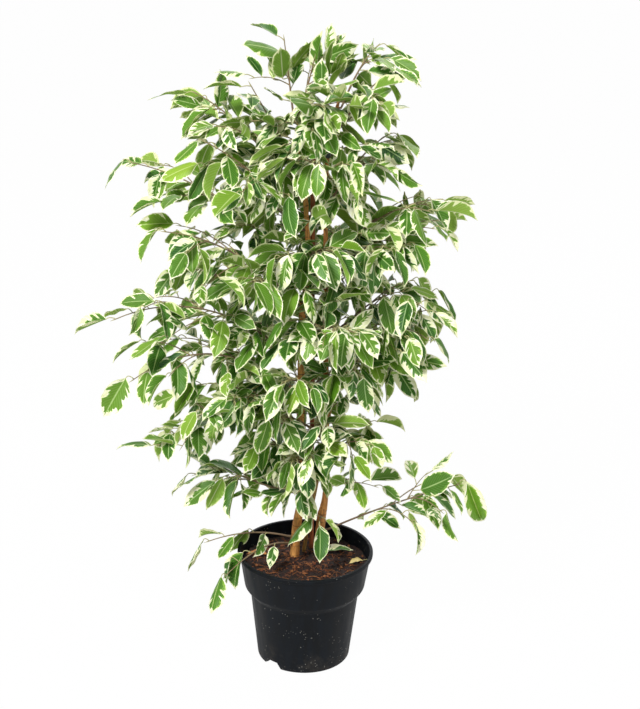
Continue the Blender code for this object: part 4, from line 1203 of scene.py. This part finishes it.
def notch_shape(turn, swell, outer, low, material):
    """A drain recess as a solid out to a radius at the foot, swollen where it makes its own walls."""
    more = math.degrees(swell / NOTCH_INNER)
    shares = [k / NOTCH_STEPS - 1 for k in range(2 * NOTCH_STEPS + 1)]
    bm = bmesh.new()
    rings = []
    for height in (low, NOTCH_HEIGHT + swell):
        half = between(NOTCH_HALVES, height / NOTCH_HEIGHT) + more
        ring = [outward(turn + half * k) * (NOTCH_INNER - swell) for k in shares]
        ring += [outward(turn + half * k) * (outer + SLOPE * height) for k in reversed(shares)]
        rings.append([bm.verts.new(point + UP * height) for point in ring])
    bm.faces.new(rings[0])
    bm.faces.new(rings[1][::-1])
    join_rings(bm, *rings)
    bmesh.ops.triangulate(bm, faces=bm.faces)
    return add_solid("notch_tool", bm, material, 30)


def combine(target, tool, operation):
    """Joins tool's shape to target or cuts it out of it, and removes the tool."""
    modifier = target.modifiers.new("combine", "BOOLEAN")
    modifier.operation = operation
    modifier.object = tool
    depsgraph = bpy.context.evaluated_depsgraph_get()
    result = bpy.data.meshes.new_from_object(target.evaluated_get(depsgraph))
    target.modifiers.clear()
    target.data = result
    bpy.data.objects.remove(tool)


def make_pot(material):
    """The moulded pot: rounded base, plain wall, stepped band, lip and drain notches."""
    top, lip_low = BAND_TOP
    lip_edge = (top - WALL, POT_HEIGHT - LIP_DEPTH)
    outside = rounded([
        (0, FOOT_HEIGHT),
        (BASE_RADIUS - FOOT_WIDTH - FOOT_STEP, FOOT_HEIGHT),
        (BASE_RADIUS - FOOT_WIDTH, 0),
        (BASE_RADIUS, 0),
        (BASE_RADIUS + SLOPE * HEEL_HEIGHT, HEEL_HEIGHT),
        (NECK_RADIUS, NECK_HIGH),
        (BAND_RADIUS, BAND_LOW),
        (between((BAND_RADIUS, top), 0.5), between((BAND_LOW, lip_low), 0.5)),
        BAND_TOP,
        (RIM_RADIUS, lip_low),
        (RIM_RADIUS, POT_HEIGHT),
        (top - WALL, POT_HEIGHT),
        lip_edge,
    ], {3: 0.0022, 5: 0.0022, 6: 0.0024, 8: 0.0009, 9: 0.0012, 10: 0.0014, 11: 0.0005})
    inside = rounded([
        lip_edge,
        (BAND_RADIUS - WALL, BAND_LOW + WALL),
        (NECK_RADIUS - WALL, NECK_HIGH + WALL),
        (BASE_RADIUS - WALL, FLOOR),
        (0, FLOOR),
    ], {1: 0.002, 2: 0.002, 3: 0.002})
    bm = bmesh.new()
    rings = []
    for radius, height in outside[:-1] + inside:
        turns = [360 * i / POT_SIDES for i in range(POT_SIDES if radius else 1)]
        rings.append([bm.verts.new(outward(turn) * radius + UP * height) for turn in turns])
    for low, high in zip(rings, rings[1:]):
        for i in range(POT_SIDES):
            j = (i + 1) % POT_SIDES
            corners = [low[i % len(low)], low[j % len(low)], high[j % len(high)], high[i % len(high)]]
            bm.faces.new(list(dict.fromkeys(corners)))
    pot = add_solid("pot_shell", bm, material, POT_EDGE)
    for i in range(NOTCHES):
        turn = NOTCH_TURN + 360 * i / NOTCHES
        combine(pot, notch_shape(turn, WALL, BASE_RADIUS - WALL / 2, FLOOR * 0.75, material), "UNION")
        combine(pot, notch_shape(turn, 0, BASE_RADIUS + WALL, -FLOOR, material), "DIFFERENCE")
    smooth_up_to(pot.data, POT_EDGE)
    return pot


# ---------------------------------------------------------------- soil

SOIL_WAVES = ((38, 0.0025), (95, 0.0015), (210, 0.0011), (430, 0.0006))
SOIL_FLOOR = 0.128
SOIL_GAP = 0.0004
SOIL_TUCK = 0.004     # how far the soil's foot and the crumbs keep in from its rim, and the fibres
FIBRE_TUCK = 0.016
SOIL_ROWS = 64
SOIL_SIDES = 180
SOIL_CRUMBS = 900
SOIL_FIBRES = 300
CRUMB_SIZE = (0.0008, 0.0042, 0.0014)
CRUMB_SUNK = 0.25     # share of its size that a crumb's middle stands over the soil
CRUMB_DARK = 0.72     # share of the crumbs that are as dark as the peat
CRUMB_SIDES = 5
CRUMB = (
    (0, 0, 1), (1, 0, 0.1), (0.3, 0.95, 0), (-0.8, 0.6, 0.1), (-0.8, -0.6, 0), (0.3, -0.95, 0.1),
    (0, 0, -0.8),
)
FIBRE_RINGS = 7
FIBRE_LENGTH = (0.006, 0.022)
FIBRE_RADIUS = (0.00022, 0.00055)
FIBRE_SIDES = 4


def on_soil(spot, lift=0.0):
    """The point over or under this one that lies on the soil's top."""
    high = sum(noise.noise(Vector((spot.x * w, spot.y * w, w))) * rise for w, rise in SOIL_WAVES)
    return Vector((spot.x, spot.y, SOIL_LEVEL + high + lift))


def soil_radius():
    """How far the soil reaches from the pot's axis."""
    share = (SOIL_LEVEL - BAND_LOW) / (POT_HEIGHT - BAND_LOW)
    return between((BAND_RADIUS, BAND_TOP[0]), share) - WALL - SOIL_GAP


def soil_spot(chance, margin):
    """A place drawn on the soil, no nearer to its edge than a margin."""
    heading = outward(chance.uniform(0, 360))
    return heading * (math.sqrt(chance.random()) * (soil_radius() - margin))


def make_soil(material):
    """Uneven peat with crumbs, bark bits and fibres lying on it."""
    chance = random.Random("soil")
    weave = Weave()
    headings = [outward(360 * k / SOIL_SIDES) for k in range(SOIL_SIDES)]
    points = [on_soil(Vector())]
    for i in range(1, SOIL_ROWS + 1):
        points += [on_soil(heading * soil_radius() * i / SOIL_ROWS) for heading in headings]
    low = len(points)
    points += [heading * (soil_radius() - SOIL_TUCK) + UP * SOIL_FLOOR for heading in headings]
    points.append(UP * SOIL_FLOOR)
    faces = []
    for k in range(SOIL_SIDES):
        j = (k + 1) % SOIL_SIDES
        faces.append((0, 1 + k, 1 + j))
        faces += [
            (a + k, a + SOIL_SIDES + k, a + SOIL_SIDES + j, a + j) for a in range(1, low, SOIL_SIDES)
        ]
        faces.append((low + k, len(points) - 1, low + j))
    weave.add_plain(np.array(points), faces)
    for _ in range(SOIL_CRUMBS):
        spot = soil_spot(chance, SOIL_TUCK)
        size = chance.triangular(*CRUMB_SIZE)
        light = 0.0 if chance.random() < CRUMB_DARK else chance.uniform(0.4, 1.0)
        add_crumb(weave, on_soil(spot, size * CRUMB_SUNK), size, light, chance)
    for _ in range(SOIL_FIBRES):
        add_fibre(weave, soil_spot(chance, FIBRE_TUCK), chance)
    return weave.build("peat_top", [material], 60)


def add_crumb(weave, spot, size, light, chance):
    """One irregular lump."""
    stretch = (chance.uniform(0.6, 1.6), chance.uniform(0.6, 1.0), chance.uniform(0.4, 0.9))
    turn = Quaternion(UP, chance.uniform(0, math.tau))
    points = []
    for corner in CRUMB:
        place = Vector([v * long * size * chance.uniform(0.75, 1.25) for v, long in zip(corner, stretch)])
        points.append(spot + turn @ place)
    faces = []
    for k in range(CRUMB_SIDES):
        j, n = k + 1, (k + 1) % CRUMB_SIDES + 1
        faces += [(0, j, n), (CRUMB_SIDES + 1, n, j)]
    weave.add_plain(np.array(points), faces, (light, chance.random(), 0))


def add_fibre(weave, spot, chance):
    """One thin curved root fibre lying on the soil."""
    heading = outward(chance.uniform(0, 360))
    length = chance.uniform(*FIBRE_LENGTH)
    bend = chance.uniform(-0.25, 0.25) * length
    path = []
    for share in np.linspace(0, 1, FIBRE_RINGS):
        arc = math.sin(math.pi * share)
        place = spot + heading * length * (share - 0.5) + UP.cross(heading) * bend * arc
        path.append(on_soil(place, 0.0006 + 0.0016 * arc))
    fibre = tube(path, [chance.uniform(*FIBRE_RADIUS)] * FIBRE_RINGS, FIBRE_SIDES)
    weave.add_plain(fibre.points, fibre.faces, (chance.uniform(0.3, 1.0), chance.random(), 0))


# ---------------------------------------------------------------- stems, cane and ties

STEM_SIDES = 28
STEM_RING = 0.0022        # height of one ring of faces
STEM_TIP = 7              # rings over which its end tapers
NODE_FIRST = 0.158        # height of the lowest node line
NODE_STEP = (0.010, 0.026)
NODE_SLANT = (0.0, 0.004)
NODE_WIDTH = 0.0022
KNOT_HEIGHT = 0.008
KNOT_RISE = 0.0011


def smooth_course(course, count):
    """Centres and radii at even heights on a smooth curve through a course."""
    knots = np.array([[*point, radius] for point, radius in course])
    slopes = np.gradient(knots, knots[:, 2], axis=0)
    rows = []
    for height in np.linspace(knots[0, 2], knots[-1, 2], count):
        i = min(max(int(np.searchsorted(knots[:, 2], height)) - 1, 0), len(knots) - 2)
        gap = knots[i + 1, 2] - knots[i, 2]
        t = (height - knots[i, 2]) / gap
        rows.append(
            knots[i] * (2 * t ** 3 - 3 * t ** 2 + 1) + slopes[i] * gap * (t ** 3 - 2 * t ** 2 + t)
            + knots[i + 1] * (3 * t ** 2 - 2 * t ** 3) + slopes[i + 1] * gap * (t ** 3 - t ** 2)
        )
    rows = np.array(rows)
    return rows[:, :3], rows[:, 3]


def make_stem(name, material):
    """A woody stem with slanting node lines, swellings under its branches and a tapered end."""
    chance = random.Random(f"stem {name}")
    count = int((STEMS[name][-1][0][2] - STEMS[name][0][0][2]) / STEM_RING)
    centres, radii = smooth_course(STEMS[name], count)
    lines = []
    height = NODE_FIRST
    while height < centres[-1][2]:
        lines.append((height, chance.uniform(0, math.tau), chance.uniform(*NODE_SLANT)))
        height += chance.uniform(*NODE_STEP)
    knots = [(b.height, math.radians(b.azimuth)) for b in BRANCHES if b.stem == name]
    near = []
    thick = []
    for (_, _, z), radius in zip(centres, radii):
        for k in range(STEM_SIDES):
            angle = math.tau * k / STEM_SIDES
            gaps = [abs(z - level - slant * math.cos(angle - turn)) for level, turn, slant in lines]
            close = max(1 - min(gaps) / NODE_WIDTH, 0)
            swell = 0.0
            for level, turn in knots:
                gap = (z - level) / KNOT_HEIGHT
                swell += math.exp(-gap * gap) * max(math.cos(angle - turn), 0) ** 2
            around = Vector((math.cos(angle) * 1.4, math.sin(angle) * 1.4, z * 60 + ord(name[0])))
            near.append(close)
            wood = radius * (1 + 0.05 * noise.noise(around) + 0.05 * close)
            thick.append(wood + KNOT_RISE * min(swell, 1.2))
    taper = np.clip((np.arange(count) - count + STEM_TIP) / STEM_TIP, 0, 1)[:, None]
    thick = np.array(thick).reshape(count, STEM_SIDES) * (1 - 0.75 * taper ** 2)
    weave = Weave()
    weave.add_tube(tube(centres, thick, STEM_SIDES), 0, WHOLE_SHEET, ([*near, 0, 0], 0, 0))
    return weave.build(f"{name}_stem_bark", [material], 60)


CANE_SIDES = 20
CANE_RINGS = 180
CANE_JOINTS = (0.18, 0.45, 0.70, 0.93)    # shares along it
JOINT_WIDTH = 0.005


def make_cane(material):
    """The support cane with four joints and a sawn end."""
    (foot, radius), (top, _) = CANE
    shares = np.linspace(0, 1, CANE_RINGS)
    centres = between((np.array(foot), np.array(top)), shares[:, None])
    joints = sum(np.exp(-((shares - joint) / JOINT_WIDTH) ** 2) for joint in CANE_JOINTS)
    radii = radius * (0.94 + 0.10 * joints)
    radii[-1] *= 0.86
    weave = Weave()
    weave.add_tube(tube(centres, radii, CANE_SIDES), 0, WHOLE_SHEET, (0, 0, 0))
    return weave.build("cane_stick", [material], 50)


TIE_BANDS = {"low": (0.550, 0.005, "left"), "high": (0.805, 0.014, "right")}
TIE_SIDES = 72
TIE_EDGE = 12             # points round the band's section
TIE_HALF = 0.00045        # half its thickness
TIE_GAP = 0.0009
TIE_RIPPLE = 0.0002


def make_tie(name, material):
    """A band with soft edges, pulled round a stem and the cane."""
    height, width, stem = TIE_BANDS[name]
    rounds = [course_at(STEMS[stem], height), course_at(CANE, height)]
    section = []
    for k in range(TIE_EDGE):
        shares = (math.cos(math.tau * k / TIE_EDGE), math.sin(math.tau * k / TIE_EDGE))
        out, rise = (math.copysign(abs(share) ** 0.6, share) for share in shares)
        section.append((TIE_HALF * out, width / 2 * rise))
    bm = bmesh.new()
    rings = []
    for k in range(TIE_SIDES):
        heading = outward(360 * k / TIE_SIDES)
        centre, radius = max(rounds, key=lambda r: r[0].dot(heading) + r[1])
        ripple = TIE_RIPPLE * math.sin(5 * math.tau * k / TIE_SIDES)
        ring = []
        for out, rise in section:
            place = centre + heading * (radius + TIE_GAP + out + ripple)
            place.z = height + rise + ripple * 2
            ring.append(bm.verts.new(place))
        rings.append(ring)
    for low, high in zip(rings, [*rings[1:], rings[0]]):
        join_rings(bm, low, high)
    return add_solid(f"tie_band_{name}", bm, material, 50)


# ---------------------------------------------------------------- fallen leaves

# Each one's bearing on the soil, room to the wall, azimuth, length, width and curl
FALLEN = {
    "dry": (165, 0.001, 172, 0.033, 0.016, 0.35),
    "pale": (0, 0.005, 205, 0.025, 0.013, 0.20),
    "green": (35, 0.009, 8, 0.048, 0.020, 0.15),
}
FALLEN_STALK = 0.008


def make_fallen(name, materials):
    """A shed leaf that lies on the soil."""
    bearing, room, azimuth, length, width, curl = FALLEN[name]
    heading = outward(azimuth)
    distance = soil_radius() - room - length / 2
    start = outward(bearing) * distance - heading * length * 0.5
    ground = max(on_soil(start + heading * length * k / 6).z for k in range(7))
    start.z = ground + 0.0016 + 0.0012 * curl
    leaf = Leaf(start - heading * FALLEN_STALK, start, heading, UP.cross(heading), UP, length, width)
    style = leaf_style(random.Random(f"fallen {name}"), 0.2)._replace(
        arch=-0.02 if name == "dry" else 0.03, fold=0.10 + curl * 0.6, curl=-0.3, twist=0.25 * curl, cream=0.3
    )
    return grow(Foliage(f"shed_leaf_{name}", [], [(leaf, style)]), materials)


# ---------------------------------------------------------------- camera, light and floor

LENS = 80.6            # mm
SENSOR = 36
CAMERA_PLACE = (0.0165, -2.2, 1.323)
CAMERA_PITCH = 20.5
CAMERA_ROLL = 1.2
WHITE = (1, 1, 1, 1)
WORLD_LIGHT = 0.27
STUDIO_REACH = 40
STUDIO_GREY = 0.86
STUDIO_GLOW = 0.985    # how far what the camera sees of the floor is evened out to white
# Lamps: place, height aimed at, size and power
LAMPS = {
    "key": ((-1.3, -2.3, 2.9), 0.5, 0.9, 124),
    "fill": ((2.2, -1.6, 1.6), 0.5, 1.8, 18),
    "back": ((0.4, 2.2, 2.4), 0.6, 1.5, 26),
}


def make_camera():
    """The camera, at the photo's angle."""
    data = bpy.data.cameras.new("camera")
    data.sensor_width = SENSOR
    data.lens = LENS
    camera = put_in_scene("camera", data)
    camera.location = CAMERA_PLACE
    camera.rotation_euler = (math.radians(90 - CAMERA_PITCH), 0, 0)
    camera.rotation_euler.rotate_axis("Z", math.radians(CAMERA_ROLL))
    bpy.context.scene.camera = camera


def make_lamp(name):
    """A round soft lamp, turned to the plant."""
    place, aim, size, power = LAMPS[name]
    data = bpy.data.lights.new(name, "AREA")
    data.shape = "DISK"
    data.size = size
    data.energy = power
    lamp = put_in_scene(name, data)
    lamp.location = place
    lamp.rotation_euler = (UP * aim - Vector(place)).to_track_quat("-Z", "Y").to_euler()


def make_world():
    """Even white light from all sides, before a white background."""
    world = bpy.data.worlds.new("studio")
    bpy.context.scene.world = world
    tree = Tree(world)
    plain = tree.nodes["Background"]
    plain.inputs["Color"].default_value = WHITE
    plain.inputs["Strength"].default_value = WORLD_LIGHT
    white = tree.make("Background", {"Color": WHITE, "Strength": 1.0})[0]
    seen = tree.seen_white(plain.outputs[0], white)
    tree.put(tree.nodes["World Output"].inputs["Surface"], seen)


def make_floor():
    """A pale floor which the camera sees as white, with the plant's shadow on it."""
    mesh = bpy.data.meshes.new("studio_floor")
    corners = [(x * STUDIO_REACH, y * STUDIO_REACH, 0) for x, y in ((-1, -1), (1, -1), (1, 1), (-1, 1))]
    mesh.from_pydata(corners, [], [(0, 1, 2, 3)])
    m = Shading("floor_white")
    m.shader.inputs["Base Color"].default_value = (STUDIO_GREY, STUDIO_GREY, STUDIO_GREY, 1)
    m.shader.inputs["Roughness"].default_value = 0.9
    plain = m.shader.outputs[0]
    glow = m.make("Emission", {"Strength": 1.0})[0]
    soft = m.make("MixShader", {0: STUDIO_GLOW, 1: plain, 2: glow})[0]
    m.put(m.nodes["Material Output"].inputs["Surface"], m.seen_white(plain, soft))
    mesh.materials.append(m.material)
    floor = put_in_scene("studio_floor", mesh)


# ---------------------------------------------------------------- everything

def settle(piece, slot, *nodes):
    """Puts a finished piece on the plant in place of its CAD nodes."""
    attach(piece, "root")
    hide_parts(*nodes)


make_camera()
make_world()
make_floor()
for lamp in LAMPS:
    make_lamp(lamp)

foliage = [leaf_material("leaf_upper", False), leaf_material("leaf_under", True), twig_material()]
settle(make_pot(pot_material()), "black_plastic", "pot")
settle(make_soil(soil_material()), "peat", "soil")
BARKS = {
    "left": ("tan_bark", (246, 180, 100), (222, 148, 76), (124, 76, 42)),
    "middle": ("pale_bark", (206, 172, 104), (172, 138, 76), (104, 80, 48)),
    "right": ("brown_bark", (240, 168, 94), (208, 134, 72), (116, 70, 40)),
}
for stem, bark in BARKS.items():
    settle(make_stem(stem, bark_material(*bark)), "bark", f"stem_{stem}")
settle(make_cane(cane_material()), "cane_bark", "support_cane")
band = tie_material()
for tie in TIE_BANDS:
    settle(make_tie(tie, band), "tie_plastic", f"tie_{tie}")

dry = shed_material("dry_leaf", (196, 132, 74), (150, 92, 50), (224, 178, 120))
wan = shed_material("pale_leaf", (226, 206, 140), (206, 178, 104), (240, 226, 176))
settle(make_fallen("dry", [dry, dry, foliage[2]]), "dry_leaf", "fallen_leaf_dry")
settle(make_fallen("pale", [wan, wan, foliage[2]]), "pale_leaf", "fallen_leaf_pale")
settle(make_fallen("green", foliage), "foliage", "fallen_leaf_green")

for name, plan in plan_crown().items():
    settle(grow(plan, foliage), "foliage", f"branch_{name}")

bpy.context.scene.view_settings.view_transform = "Standard"
bpy.context.view_layer.update()
